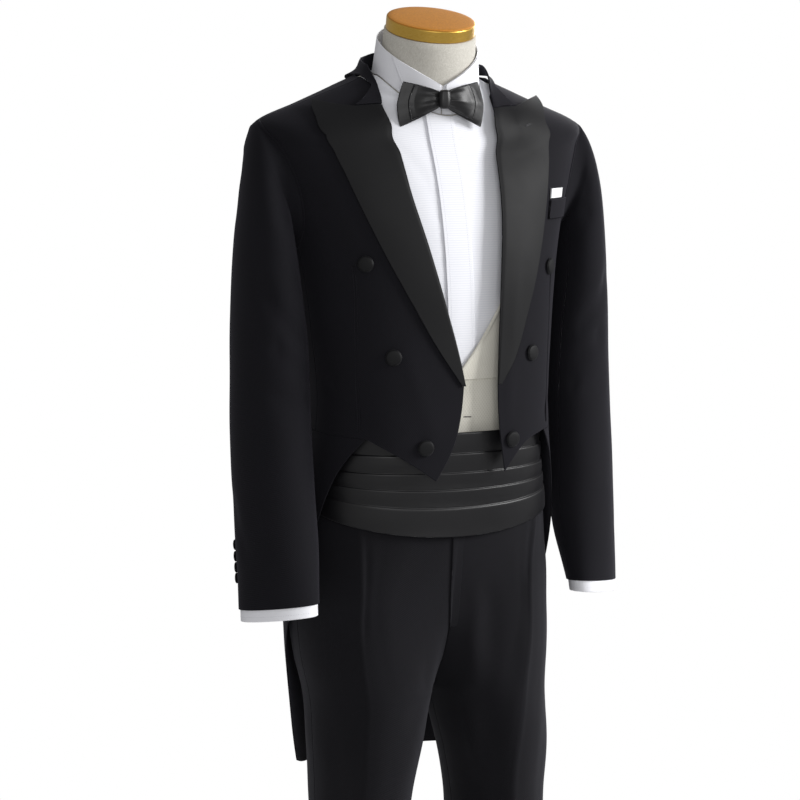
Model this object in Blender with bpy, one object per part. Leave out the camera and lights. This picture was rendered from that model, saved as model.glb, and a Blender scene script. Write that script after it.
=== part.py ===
"""A double-breasted evening tailcoat worn open over its suit, on a limbless dress form, at real size.

Metres, +Z up. The clothes face -Y and the wearer's left is +X. The origin is the middle of the
base's underside.

Most cloth lies on a ring surface: a table with one row for each level gives the girth there, and a
point is a level and an angle, 0 at the front, 90 at the wearer's left and 180 at the back. A panel
is four edges drawn on such a surface, filled by a grid and thickened inwards by the cloth.
"""

import math

import bmesh
import bpy
import numpy as np

# Cloth and seams
CLOTH = 0.0016
FINE_CLOTH = 0.0012
SATIN = 0.0018
SEAM = 0.0003
LAPEL_OUT = 0.0035
COLLAR_OUT = 0.0036
WELT_OUT = 0.0029
PLACKET_OUT = 0.0024
SLEEVE_CLEAR = 0.0012
SHIRT_SLEEVE_IN = (0.0095, 0.0065, 0.0052, 0.0052, 0.0052)
SHIRT_HEAD_LIFT = 0.0060
SHIRT_ARM_LIFT = 0.018
PLACKET_LEVELS = (
    1.153, 1.190, 1.225, 1.260, 1.295, 1.325, 1.355, 1.385, 1.415, 1.443, 1.468, 1.490, 1.508, 1.5235
)
PLACKET_SIDES = (-0.0225, 0.0145)
PLACKET_LEANS = 0.04
CUFF_IN = 0.0023
CUFF_SHOWS = 0.0150
CUFF_TALL = 0.050

# Buttons
FRONT_BUTTON_R = 0.0105
SLEEVE_BUTTON_R = 0.0068
BUTTON_RISE = 0.0002

# Stand
BASE_R = 0.190
BASE_TALL = 0.012
BASE_EDGE = 0.004
POLE_R = 0.0125
POLE_X = -0.098
POLE_Y = -0.014
FORM_BOTTOM = 0.870

COAT_WAIST = 1.078
TAIL_END = 0.615
NECK_LEVEL = 1.525

FINISHES = {
    "coat_wool": ((0.012, 0.012, 0.016), 0.85, 0.0),
    "lapel_satin": ((0.016, 0.016, 0.020), 0.45, 0.0),
    "sash_satin": ((0.014, 0.014, 0.018), 0.32, 0.0),
    "trouser_wool": ((0.012, 0.012, 0.015), 0.88, 0.0),
    "shirt_cotton": ((0.86, 0.87, 0.92), 0.80, 0.0),
    "waistcoat_cotton": ((0.62, 0.60, 0.52), 0.85, 0.0),
    "pocket_linen": ((0.90, 0.90, 0.92), 0.80, 0.0),
    "form_jersey": ((0.66, 0.63, 0.57), 0.90, 0.0),
    "cap_brass": ((0.80, 0.46, 0.08), 0.35, 1.0),
    "stand_steel": ((0.03, 0.03, 0.032), 0.45, 0.0),
}

TORSO_COLUMNS = "level half front back middle square dip rise"

# The coat, one row for each level: half width, reach to the front and back, where it is widest,
# how square the girth is, and how far the level dips in front and rises behind.
COAT_ROWS = (
    (0.600, 0.163, 0.020, 0.120, 0.018, 0.03, 0.000, 0.000),
    (0.700, 0.170, 0.050, 0.131, 0.015, 0.03, 0.000, 0.000),
    (0.800, 0.178, 0.090, 0.142, 0.011, 0.04, 0.000, 0.000),
    (0.900, 0.1805, 0.125, 0.144, 0.004, 0.05, 0.000, 0.000),
    (0.960, 0.1765, 0.138, 0.134, -0.004, 0.06, 0.000, 0.000),
    (1.020, 0.1680, 0.143, 0.114, -0.012, 0.07, 0.000, 0.000),
    (1.070, 0.1610, 0.147, 0.100, -0.018, 0.07, 0.000, 0.000),
    (1.115, 0.1585, 0.148, 0.092, -0.021, 0.07, 0.000, 0.000),
    (1.200, 0.1640, 0.147, 0.106, -0.016, 0.07, 0.000, 0.000),
    (1.280, 0.1730, 0.145, 0.120, -0.010, 0.07, 0.000, 0.000),
    (1.340, 0.1860, 0.138, 0.126, -0.006, 0.06, 0.000, 0.000),
    (1.400, 0.2060, 0.124, 0.122, -0.002, 0.04, 0.006, 0.000),
    (1.440, 0.2200, 0.111, 0.110, 0.000, 0.02, 0.014, 0.004),
    (1.468, 0.2235, 0.102, 0.094, 0.000, 0.00, 0.022, 0.008),
    (1.490, 0.1730, 0.101, 0.082, -0.002, 0.00, 0.030, 0.012),
    (1.508, 0.1280, 0.100, 0.075, -0.006, 0.00, 0.038, 0.014),
    (1.525, 0.0880, 0.099, 0.071, -0.010, 0.00, 0.050, 0.016),
    (1.540, 0.0790, 0.095, 0.066, -0.014, 0.00, 0.052, 0.020),
)

# The dress form's trunk, in the same columns.
FORM_ROWS = (
    (0.870, 0.138, 0.086, 0.092, 0.000, 0.02, 0.000, 0.000),
    (0.900, 0.150, 0.092, 0.099, 0.000, 0.03, 0.000, 0.000),
    (0.950, 0.151, 0.098, 0.092, -0.004, 0.05, 0.000, 0.000),
    (1.000, 0.146, 0.103, 0.081, -0.010, 0.06, 0.000, 0.000),
    (1.050, 0.1400, 0.107, 0.073, -0.016, 0.07, 0.000, 0.000),
    (1.115, 0.136, 0.114, 0.068, -0.021, 0.07, 0.000, 0.000),
    (1.200, 0.141, 0.121, 0.083, -0.016, 0.07, 0.000, 0.000),
    (1.280, 0.150, 0.121, 0.100, -0.010, 0.07, 0.000, 0.000),
    (1.340, 0.163, 0.115, 0.107, -0.006, 0.06, 0.000, 0.000),
    (1.400, 0.180, 0.104, 0.101, -0.002, 0.04, 0.006, 0.000),
    (1.440, 0.193, 0.094, 0.087, 0.000, 0.02, 0.014, 0.004),
    (1.468, 0.190, 0.088, 0.071, 0.000, 0.00, 0.022, 0.008),
    (1.490, 0.1450, 0.087, 0.061, -0.002, 0.00, 0.030, 0.012),
    (1.508, 0.1065, 0.086, 0.054, -0.008, 0.00, 0.038, 0.014),
    (1.525, 0.068, 0.0855, 0.0465, -0.018, 0.00, 0.050, 0.016),
)
FORM_LEVELS = (
    0.870, 0.900, 0.960, 1.030, 1.075, 1.115, 1.160, 1.210, 1.290, 1.360, 1.410, 1.445, 1.468, 1.490, 1.508,
    1.525,
)

# How far each layer's outside lies out from the form, by level.
TRUNK_EASE = (
    (0.870, 0.0), (1.000, 0.0), (1.200, -0.0010), (1.330, -0.0025), (1.440, -0.0035), (1.468, -0.0030),
    (1.490, -0.0010), (1.508, 0.0), (1.525, 0.0),
)
SHIRT_EASE = (
    (0.960, 0.0054), (1.200, 0.0054), (1.300, 0.0060), (1.380, 0.0060), (1.440, 0.0052), (1.468, 0.0042),
    (1.490, 0.0028), (1.508, 0.0020), (1.525, 0.0020),
)
WAISTCOAT_EASE = (
    (1.140, 0.0110), (1.380, 0.0115), (1.440, 0.0110), (1.468, 0.0090), (1.490, 0.0060), (1.508, 0.0040),
    (1.525, 0.0040),
)
BAND_EASE = ((1.060, 0.0088), (1.110, 0.0086), (1.151, 0.0082))
WAISTCOAT_BACK_OUT = 0.0020

# The trousers' seat and waist, and the cummerbund round them, in the columns of the coat.
HIPS_ROWS = (
    (0.860, 0.1735, 0.1120, 0.1210, 0.000, 0.03, 0.0, 0.0),
    (0.910, 0.1715, 0.1150, 0.1170, -0.001, 0.04, 0.0, 0.0),
    (0.950, 0.1680, 0.1180, 0.1100, -0.004, 0.05, 0.0, 0.0),
    (1.000, 0.1585, 0.1200, 0.0980, -0.009, 0.06, 0.0, 0.0),
    (1.034, 0.1515, 0.1210, 0.0900, -0.013, 0.07, 0.0, 0.0),
    (1.080, 0.1465, 0.1210, 0.0825, -0.018, 0.07, 0.0, 0.0),
)
HIPS_FROM, HIPS_FULL = 0.850, 0.965
SASH_ROWS = tuple(
    (level, half + 0.0024, front + 0.0075, back + 0.0024, middle, square, 0.0, 0.0)
    for level, half, front, back, middle, square, _, _ in HIPS_ROWS
)

# One trouser leg, wearer's left: the middle of the leg, its reach outwards, inwards, to the front
# and back, and where it is widest. Above the crotch the inward reach runs past the middle of the
# body, and the panel ends there at the centre seam.
LEG_COLUMNS = "level centre outer inner front back middle"
LEG_ROWS = (
    (0.028, 0.1030, 0.0545, 0.0545, 0.094, 0.052, -0.021),
    (0.300, 0.1010, 0.0570, 0.0570, 0.100, 0.055, -0.022),
    (0.480, 0.0990, 0.0600, 0.0600, 0.108, 0.056, -0.026),
    (0.586, 0.0974, 0.0625, 0.0625, 0.112, 0.060, -0.026),
    (0.665, 0.0918, 0.0710, 0.0720, 0.122, 0.069, -0.026),
    (0.735, 0.0850, 0.0780, 0.0840, 0.121, 0.096, -0.014),
    (0.775, 0.0845, 0.0850, 0.1050, 0.116, 0.112, -0.006),
    (0.810, 0.0862, 0.0865, 0.1400, 0.112, 0.120, -0.002),
    (0.850, 0.0867, 0.0868, 0.2050, 0.110, 0.121, 0.000),
    (0.900, 0.0862, 0.0863, 0.2500, 0.113, 0.117, 0.000),
    (0.970, 0.0805, 0.0805, 0.2800, 0.118, 0.104, -0.006),
    (1.030, 0.0745, 0.0745, 0.3000, 0.117, 0.090, -0.012),
    (1.072, 0.0725, 0.0725, 0.3000, 0.118, 0.082, -0.018),
)
TROUSER_LEVELS = (
    0.028, 0.180, 0.330, 0.470, 0.586, 0.650, 0.700, 0.736, 0.757, 0.800, 0.855, 0.905, 0.950, 0.995, 1.034
)
TROUSER_FRONT = (0.0, 22.5, 45.0, 67.5, 90.0, 112.5, 135.0, 157.5, 180.0)
TROUSER_BACK = (180.0, 202.5, 225.0, 247.5, 270.0, 292.5, 315.0, 337.5, 360.0)
WAISTBAND_FROM, WAISTBAND_TOP, WAISTBAND_THICK = 1.034, 1.070, 0.0022
FORK_LEVEL = 0.740
CREASE_SPREAD = 22.5

# The pressed pleat of each leg: level, degrees outwards of the leg's front, and how far it stands.
RIGHT_CREASE = (
    (0.028, 22.0, 0.003), (0.500, 28.0, 0.004), (0.730, 30.0, 0.004), (0.860, 27.0, 0.004),
    (0.945, 22.0, 0.004), (1.034, 18.0, 0.000),
)
LEFT_CREASE = (
    (0.028, -6.0, 0.003), (0.500, -10.0, 0.004), (0.640, -10.0, 0.004), (0.730, 6.0, 0.004),
    (0.830, 15.0, 0.004), (0.945, 7.0, 0.004), (1.034, 4.0, 0.000),
)

# One sleeve, wearer's left, a row for each ring: its outer and inner ends, its middle from front to
# back, its half depth, how it turns its front inwards, and how it rises to the front.
SLEEVE_COLUMNS = "outer_x outer_z inner_x inner_z middle depth turn rise"
SLEEVE_ROWS = (
    (0.2310, 1.4630, 0.1830, 1.3060, -0.002, 0.047, 0.0, 0.00),
    (0.2390, 1.4460, 0.1800, 1.2960, -0.005, 0.050, 3.0, 0.00),
    (0.2460, 1.4170, 0.1785, 1.2830, -0.008, 0.054, 6.0, 0.00),
    (0.2525, 1.3720, 0.1770, 1.2640, -0.012, 0.057, 11.0, 0.00),
    (0.2585, 1.3050, 0.1750, 1.2300, -0.016, 0.058, 17.0, 0.00),
    (0.2625, 1.2200, 0.1730, 1.1800, -0.020, 0.057, 23.0, 0.02),
    (0.2640, 1.1300, 0.1735, 1.1100, -0.024, 0.056, 28.0, 0.03),
    (0.2640, 1.0360, 0.1760, 1.0280, -0.034, 0.056, 34.0, 0.05),
    (0.2610, 0.9400, 0.1790, 0.9400, -0.048, 0.055, 40.0, 0.08),
    (0.2545, 0.8600, 0.1935, 0.8640, -0.064, 0.054, 45.0, 0.11),
)
TOP_SLEEVE_FRONT = 6
UNDER_SLEEVE_BACK = 13

# The armhole on the coat, from the side seam up the front to the shoulder, down the back to the
# side-back seam, and along under the arm: level and angle.
ARMHOLE_FRONT = (
    (1.312, 84.0), (1.338, 71.5), (1.374, 67.0), (1.413, 66.8), (1.446, 69.5), (1.462, 77.0), (1.468, 88.0)
)
ARMHOLE_BACK = (
    (1.468, 88.0), (1.463, 98.0), (1.449, 106.0), (1.420, 111.5), (1.385, 113.0), (1.345, 110.5)
)
ARMHOLE_UNDER = ((1.345, 110.5), (1.322, 103.0), (1.310, 93.0), (1.312, 84.0))
SHOULDER_SEAM = ((1.468, 88.0), (1.490, 88.0), (NECK_LEVEL, 88.0))

SIDE_SEAM = ((COAT_WAIST, 84.0), (1.200, 84.0), (1.312, 84.0))
SIDE_BACK_SEAM = ((COAT_WAIST, 154.0), (1.180, 147.0), (1.260, 134.0), (1.310, 121.0), (1.345, 110.5))
TAIL_SEAM = ((TAIL_END, 146.0), (0.800, 148.0), (0.950, 151.0), (COAT_WAIST, 154.0))
WAIST_FRONT = ((1.0740, 47.0), (1.0765, 65.0), (COAT_WAIST, 84.0))
WAIST_SIDE = ((COAT_WAIST, 84.0), (COAT_WAIST, 120.0), (COAT_WAIST, 154.0))
TAIL_HEM = ((0.6225, 118.5), (0.6170, 126.0), (TAIL_END, 146.0))
SKIRT_EDGE = (
    (0.6225, 118.5), (0.633, 114.6), (0.665, 112.0), (0.720, 108.6), (0.790, 101.0), (0.860, 85.0),
    (0.920, 73.0),
    (0.968, 67.5), (1.012, 64.0), (1.047, 57.5), (1.066, 51.5), (1.0740, 47.0),
)
NECK_EDGE_BACK = ((NECK_LEVEL, 88.0), (NECK_LEVEL, 134.0), (NECK_LEVEL, 180.0))

# Edges of the two fronts, which hang open: the wearer's right one swings closer to the middle. crest
# is the lapel's edge up to the peak's tip, gorge the seam of lapel and collar and on to that tip, peak
# how far the tip stands off, and fold and leaf are the front ends of the collar's two edges.
RIGHT_EDGE = {
    "tip": ((1.019, 14.0), (1.039, 9.2), (1.061, 6.4), (1.083, 4.2), (1.111, 2.6), (1.139, 2.2)),
    "roll": (
        (1.139, 2.2), (1.184, 5.6), (1.244, 11.2), (1.303, 15.9), (1.340, 18.4), (1.375, 19.9),
        (1.407, 20.2), (1.437, 20.3), (1.466, 22.0), (1.482, 26.2), (1.497, 33.6), (1.515, 49.0),
        (1.524, 62.8),
    ),
    "foot": ((1.019, 14.0), (1.041, 24.8), (1.061, 37.2), (1.0740, 47.0)),
    "lapel": (
        (1.139, 3.4), (1.152, 6.4), (1.172, 12.0), (1.199, 17.6), (1.246, 25.6), (1.296, 33.2),
        (1.348, 38.8), (1.3935, 41.3), (1.4391, 43.3), (1.4634, 45.2),
    ),
    "crest": ((1.4634, 45.2), (1.4767, 53.3), (1.4878, 67.6), (1.4948, 79.0)),
    "gorge": ((1.512, 46.0), (1.501, 54.0), (1.498, 61.6), (1.4948, 79.0)),
    "peak": 0.002,
    "fold": ((1.515, 49.0), (1.524, 62.8)),
    "leaf": ((1.507, 55.6), (1.517, 63.6), (1.5225, 68.0)),
    "buttons": ((1.293, 42.4), (1.177, 34.0), (1.063, 20.0)),
}
LEFT_EDGE = {
    "tip": ((1.026, 18.8), (1.034, 18.4), (1.055, 17.2), (1.080, 16.0), (1.113, 15.0), (1.139, 15.0)),
    "roll": (
        (1.139, 15.0), (1.184, 15.2), (1.244, 15.5), (1.303, 16.0), (1.340, 16.2), (1.375, 15.8),
        (1.416, 15.1), (1.456, 15.0), (1.486, 18.6), (1.502, 24.6), (1.515, 36.0), (1.525, 52.0),
    ),
    "foot": ((1.026, 18.8), (1.043, 23.4), (1.063, 30.0), (1.0740, 47.0)),
    "lapel": (
        (1.139, 16.2), (1.156, 21.6), (1.180, 25.0), (1.211, 28.4), (1.267, 33.6), (1.328, 37.6),
        (1.3698, 38.3), (1.4323, 38.6), (1.4557, 38.9),
    ),
    "crest": ((1.4557, 38.9), (1.4791, 45.7), (1.4889, 57.3), (1.4977, 74.4)),
    "gorge": ((1.515, 36.0), (1.504, 48.8), (1.5025, 60.2), (1.4977, 74.4)),
    "peak": 0.008,
    "fold": ((1.525, 52.0), (1.533, 62.0)),
    "leaf": ((1.511, 52.0), (1.516, 58.0), (1.5225, 65.6)),
    "buttons": ((1.284, 45.2), (1.176, 34.4), (1.068, 22.8)),
}
LAPEL_ROLLS_PAST = 0.4
COLLAR_FROM_LAPEL = (0.0003, 0.2)

# The collar's leaf: its fold round the neck and its outer edge, from the gorge to the middle behind.
COLLAR_FOLD_BACK = ((1.540, 84.0), (1.540, 135.0), (1.540, 180.0))
COLLAR_EDGE_BACK = ((1.5245, 86.0), (1.5220, 112.0), (1.510, 142.0), (1.495, 180.0))
COLLAR_EDGE_OUT = 0.0012

# Shirt collar: half width and half depth of its top, and the top's height by the angle from the front.
COLLAR_TOP_HALF = 0.0645
COLLAR_TOP_DEPTH = 0.0665
COLLAR_TOP_MIDDLE = -0.0245
COLLAR_TOP_LEVELS = (
    (0.0, 1.5125), (30.0, 1.532), (60.0, 1.551), (90.0, 1.569), (135.0, 1.587), (180.0, 1.595)
)
SHIRT_TURN = -8.0
WING_FROM = 3.0
WING_TO = 60.0
WING_TALL = 0.032

# Waistcoat: the opening's edge on the wearer's left, by level and distance from the middle.
OPENING = (
    (1.157, -0.003), (1.178, 0.0129), (1.200, 0.0280), (1.222, 0.0405), (1.244, 0.0526), (1.300, 0.078),
    (1.370, 0.098), (1.440, 0.112), (1.490, 0.120),
)
WAISTCOAT_MIDDLE = -0.004
WAISTCOAT_FOOT = 1.1455
WAISTCOAT_BAND_FOOT, WAISTCOAT_BAND_TOP = 1.0740, 1.1510
WAISTCOAT_ARM_FRONT = (
    (1.285, 88.0), (1.305, 76.0), (1.350, 62.5), (1.410, 60.0), (1.450, 63.0), (1.473, 75.0), (1.484, 88.0)
)
WAISTCOAT_ARM_BACK = (
    (1.285, 88.0), (1.310, 104.0), (1.350, 117.0), (1.400, 119.0), (1.442, 114.0), (1.470, 102.0),
    (1.484, 88.0),
)

# Cummerbund: fold lines at the middle of the front, how much higher its foot is at the sides, and
# how far round it reaches.
SASH_FOLDS = (1.0785, 1.0520, 1.0275, 1.0055, 0.9825, 0.9435)
SASH_FOOT_RISE = 0.036
SASH_REACH = 96.0
SASH_COLUMNS = 32
SASH_STRAP = (1.062, 1.012)
SASH_STEP = 0.0013
SASH_LIP = 0.0007

# Form neck and cap: the cap's tilt, the way it leans, and the middle of its foot.
NECK_R = 0.0598
CAP_R = 0.0568
CAP_TILT = 17.3
CAP_TURN = -6.7
CAP_FOOT = (0.0, -0.0325, 1.5823)
CAP_TALL = 0.0168
CAP_CROWN = 0.0015

# Bow tie: the knot's place and turn, and the wings' half width, and heights at the knot and the end.
BOW_X = -0.0125
BOW_Y = -0.0960
BOW_Z = 1.4955
BOW_TURN = -7.0
BOW_SPAN = 0.0535
KNOT_W = 0.0155
KNOT_H = 0.0235
KNOT_D = 0.0120


class Table:
    """Rows of named columns, read smoothly at any place between its first and last row."""

    def __init__(self, columns, rows):
        self.names = columns.split()
        self.values = np.array(rows, float)

    def at(self, place, *names):
        """The named columns at these places in the first column."""
        steps = self.values[:, 0]
        return [blend(steps, self.values[:, self.names.index(name)], place) for name in names]


def blend(steps, values, place):
    """A smooth curve through values at steps, which doesn't overshoot by much, read at place."""
    steps, values = np.asarray(steps, float), np.asarray(values, float)
    place = np.clip(place, steps[0], steps[-1])
    spans = np.diff(steps)
    slopes = np.diff(values) / spans
    bends = np.empty_like(values)
    bends[0], bends[-1] = slopes[0], slopes[-1]
    bends[1:-1] = (slopes[:-1] * spans[1:] + slopes[1:] * spans[:-1]) / (spans[1:] + spans[:-1])
    row = np.clip(np.searchsorted(steps, place, side="right") - 1, 0, len(steps) - 2)
    t = (place - steps[row]) / spans[row]
    start, end = t**3 - 2 * t**2 + t, t**3 - t**2
    rise = 3 * t**2 - 2 * t**3
    return (
        (1 - rise) * values[row]
        + rise * values[row + 1]
        + (start * bends[row] + end * bends[row + 1]) * spans[row]
    )


class Surface:
    """A surface that gives a point for each level and angle in degrees."""

    STEP = 1e-4

    def __init__(self, point):
        self.point = point

    def normal(self, level, angle):
        """The way out of the surface, worked out from its slopes."""
        turn = math.degrees(self.STEP)
        around = self.point(level, angle + turn) - self.point(level, angle - turn)
        up = self.point(level + self.STEP, angle) - self.point(level - self.STEP, angle)
        across = np.cross(around, up)
        return across / np.linalg.norm(across, axis=-1, keepdims=True)

    def grid(self, places, out=0.0):
        """Points at the places, a grid of level and angle, moved out by out."""
        level, angle = places[..., 0], places[..., 1]
        return self.point(level, angle) + self.normal(level, angle) * np.asarray(out)[..., None]


def over(surface, ease):
    """A surface that lies out from another by an ease that goes with the level."""
    levels, eases = np.array(ease, float).T

    def point(level, angle):
        out = blend(levels, eases, level)
        return surface.point(level, angle) + surface.normal(level, angle) * np.asarray(out)[..., None]

    return Surface(point)


def torso(table):
    """The ring surface of a trunk."""

    def point(level, angle):
        half, front, back, middle, square, dip, rise = table.at(
            level, "half", "front", "back", "middle", "square", "dip", "rise"
        )
        turn = np.radians(angle)
        sine, cosine = np.sin(turn), np.cos(turn)
        fuller = 1 + square * np.sin(2 * turn) ** 2
        depth = np.where(cosine > 0, front + middle, back - middle)
        ahead, behind = np.maximum(0, cosine), np.maximum(0, -cosine)
        return np.stack(
            np.broadcast_arrays(
                half * sine * fuller,
                middle - depth * cosine * fuller,
                level - dip * ahead**1.5 + rise * behind**1.5,
            ),
            -1,
        )

    return Surface(point)


def path(points, count):
    """count places spaced evenly along a smooth line through the points, rows of level and angle."""
    points = np.array(points, float)
    lengths = np.hypot(np.diff(points[:, 0]), np.radians(np.diff(points[:, 1])) * 0.15)
    steps = np.concatenate([[0], np.cumsum(lengths)])
    at = np.linspace(0, steps[-1], count)
    if len(points) == 2:
        return np.stack([np.interp(at, steps, points[:, i]) for i in (0, 1)], -1)
    return np.stack([blend(steps, points[:, i], at) for i in (0, 1)], -1)


def joined(*paths):
    """Paths end to end, each shared place once."""
    return np.concatenate([paths[0]] + [p[1:] for p in paths[1:]])


def patch(left, right, bottom, top):
    """A grid of places filled between four edges. left and right run up, bottom and top run across."""
    u = np.linspace(0, 1, len(bottom))[None, :, None]
    v = np.linspace(0, 1, len(left))[:, None, None]
    across = (1 - u) * left[:, None] + u * right[:, None]
    along = (1 - v) * bottom[None] + v * top[None]
    corners = (
        (1 - v) * ((1 - u) * bottom[0] + u * bottom[-1])
        + v * ((1 - u) * top[0] + u * top[-1])
    )
    return across + along - corners


def sided(places, side):
    """Places of the wearer's left, or mirrored to the right where side is -1."""
    return places * np.array([1.0, side])


def drawn_in(grid, rows=True, columns=True, seam=SEAM / 2):
    """The grid with its outermost rows and columns moved in by half a seam."""
    grid = grid.copy()
    if rows:
        for edge, beside in ((0, 1), (-1, -2)):
            step = grid[beside] - grid[edge]
            grid[edge] += step / np.linalg.norm(step, axis=-1, keepdims=True) * seam
    if columns:
        for edge, beside in ((0, 1), (-1, -2)):
            step = grid[:, beside] - grid[:, edge]
            grid[:, edge] += step / np.linalg.norm(step, axis=-1, keepdims=True) * seam
    return grid


def finish_of(name):
    """The material of this finish, made once."""
    if name in bpy.data.materials:
        return bpy.data.materials[name]
    colour, roughness, metallic = FINISHES[name]
    material = bpy.data.materials.new(name)
    material.use_nodes = True
    shader = material.node_tree.nodes["Principled BSDF"]
    shader.inputs["Base Color"].default_value = (*colour, 1.0)
    shader.inputs["Roughness"].default_value = roughness
    shader.inputs["Metallic"].default_value = metallic
    return material


def placed(name, mesh, finish):
    """The mesh as a named object of the part."""
    mesh.materials.append(finish_of(finish))
    obj = bpy.data.objects.new(name, mesh)
    PARTS.objects.link(obj)
    return obj


def built(name, bm, finish, crease=40.0):
    """The bmesh as a named object, its faces turned outwards and smooth but for sharp creases."""
    bmesh.ops.recalc_face_normals(bm, faces=bm.faces)
    if bm.calc_volume(signed=True) < 0:
        bmesh.ops.reverse_faces(bm, faces=bm.faces)
    mesh = bpy.data.meshes.new(name)
    bm.to_mesh(mesh)
    bm.free()
    mesh.shade_smooth()
    mesh.set_sharp_from_angle(angle=math.radians(crease))
    return placed(name, mesh, finish)


def wall(name, outer, inner, finish, around=False):
    """A wall between two grids of points, closed round its edges, or a tube where around is set."""
    rows, columns = outer.shape[:2]
    bm = bmesh.new()
    skins = [[[bm.verts.new(p) for p in row] for row in grid] for grid in (outer, inner)]
    steps = columns if around else columns - 1
    for r in range(rows - 1):
        for c in range(steps):
            d = (c + 1) % columns
            for skin in skins:
                bm.faces.new((skin[r][c], skin[r][d], skin[r + 1][d], skin[r + 1][c]))
    out, within = skins
    for r in (0, rows - 1):
        for c in range(steps):
            d = (c + 1) % columns
            bm.faces.new((out[r][c], out[r][d], within[r][d], within[r][c]))
    if not around:
        for c in (0, columns - 1):
            for r in range(rows - 1):
                bm.faces.new((out[r][c], out[r + 1][c], within[r + 1][c], within[r][c]))
    return built(name, bm, finish)


def loft(name, rings, finish, crease=40.0):
    """A closed solid through rings of points, with flat ends."""
    bm = bmesh.new()
    loops = [[bm.verts.new(p) for p in ring] for ring in rings]
    count = len(loops[0])
    for low, high in zip(loops, loops[1:]):
        for i in range(count):
            j = (i + 1) % count
            bm.faces.new((low[i], low[j], high[j], high[i]))
    bm.faces.new(loops[0])
    bm.faces.new(loops[-1])
    return built(name, bm, finish, crease)


def panel(name, surface, places, finish, out=0.0, thick=CLOTH, relief=0.0):
    """A cut panel of cloth on a surface. relief stands its outer face out further."""
    outer = drawn_in(surface.grid(places, np.zeros(places.shape[:2]) + out + relief))
    inner = drawn_in(surface.grid(places, np.zeros(places.shape[:2]) + out - thick))
    return wall(name, outer, inner, finish)


def button(name, centre, way, radius, finish, sides):
    """A cloth-covered button: a turned dome that faces the given way."""
    profile = ((0.62, 0.0), (1.0, 0.16), (0.94, 0.30), (0.60, 0.43))
    way = np.array(way) / np.linalg.norm(way)
    across = np.cross(way, (0.0, 0.0, 1.0))
    across /= np.linalg.norm(across)
    up = np.cross(across, way)
    turns = np.radians(np.arange(sides) * 360.0 / sides)
    rings = [
        centre
        + way * (BUTTON_RISE + rise * radius)
        + radius * reach * (np.cos(turns)[:, None] * across + np.sin(turns)[:, None] * up)
        for reach, rise in profile
    ]
    return loft(name, rings, finish, crease=70.0)


PARTS = bpy.data.collections.new("double_breasted_tailcoat_suit")


def clear_scene():
    """Removes what the scene holds, and gives it the part's collection."""
    for obj in list(bpy.data.objects):
        bpy.data.objects.remove(obj, do_unlink=True)
    bpy.context.scene.collection.children.link(PARTS)


# Numbers of rows and columns in the panels' grids
TIP_ROWS, LAPEL_ROWS, PEAK_ROWS, PEAK_COLUMNS = 4, 11, 6, 4
LEAF_ROWS, NAPE_ROWS = 5, 9
SIDE_ROWS, ARM_ROWS, SHOULDER_ROWS = 7, 7, 4
FOOT_COLUMNS, WAIST_COLUMNS, UNDER_COLUMNS = 5, 4, 7
TAIL_ROWS, BACK_ROWS, BACK_ARM_ROWS = 8, 7, 7
BACK_COLUMNS, COLLAR_COLUMNS = 6, 4
SHIRT_ARM_ROWS = 5

COAT = torso(Table(TORSO_COLUMNS, COAT_ROWS))
FORM_TABLE = Table(TORSO_COLUMNS, FORM_ROWS)
FORM = torso(FORM_TABLE)
TRUNK = over(FORM, TRUNK_EASE)
SHIRT = over(FORM, SHIRT_EASE)
WAISTCOAT = over(FORM, WAISTCOAT_EASE)
WAISTCOAT_BAND = over(FORM, BAND_EASE)
HIPS = torso(Table(TORSO_COLUMNS, HIPS_ROWS))
SASH = torso(Table(TORSO_COLUMNS, SASH_ROWS))
ROUND_FORM = np.concatenate([np.linspace(-88.0, 88.0, 11), np.linspace(88.0, 272.0, 11)[1:-1]])
SIDES = (("right", -1.0, RIGHT_EDGE), ("left", 1.0, LEFT_EDGE))


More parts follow.
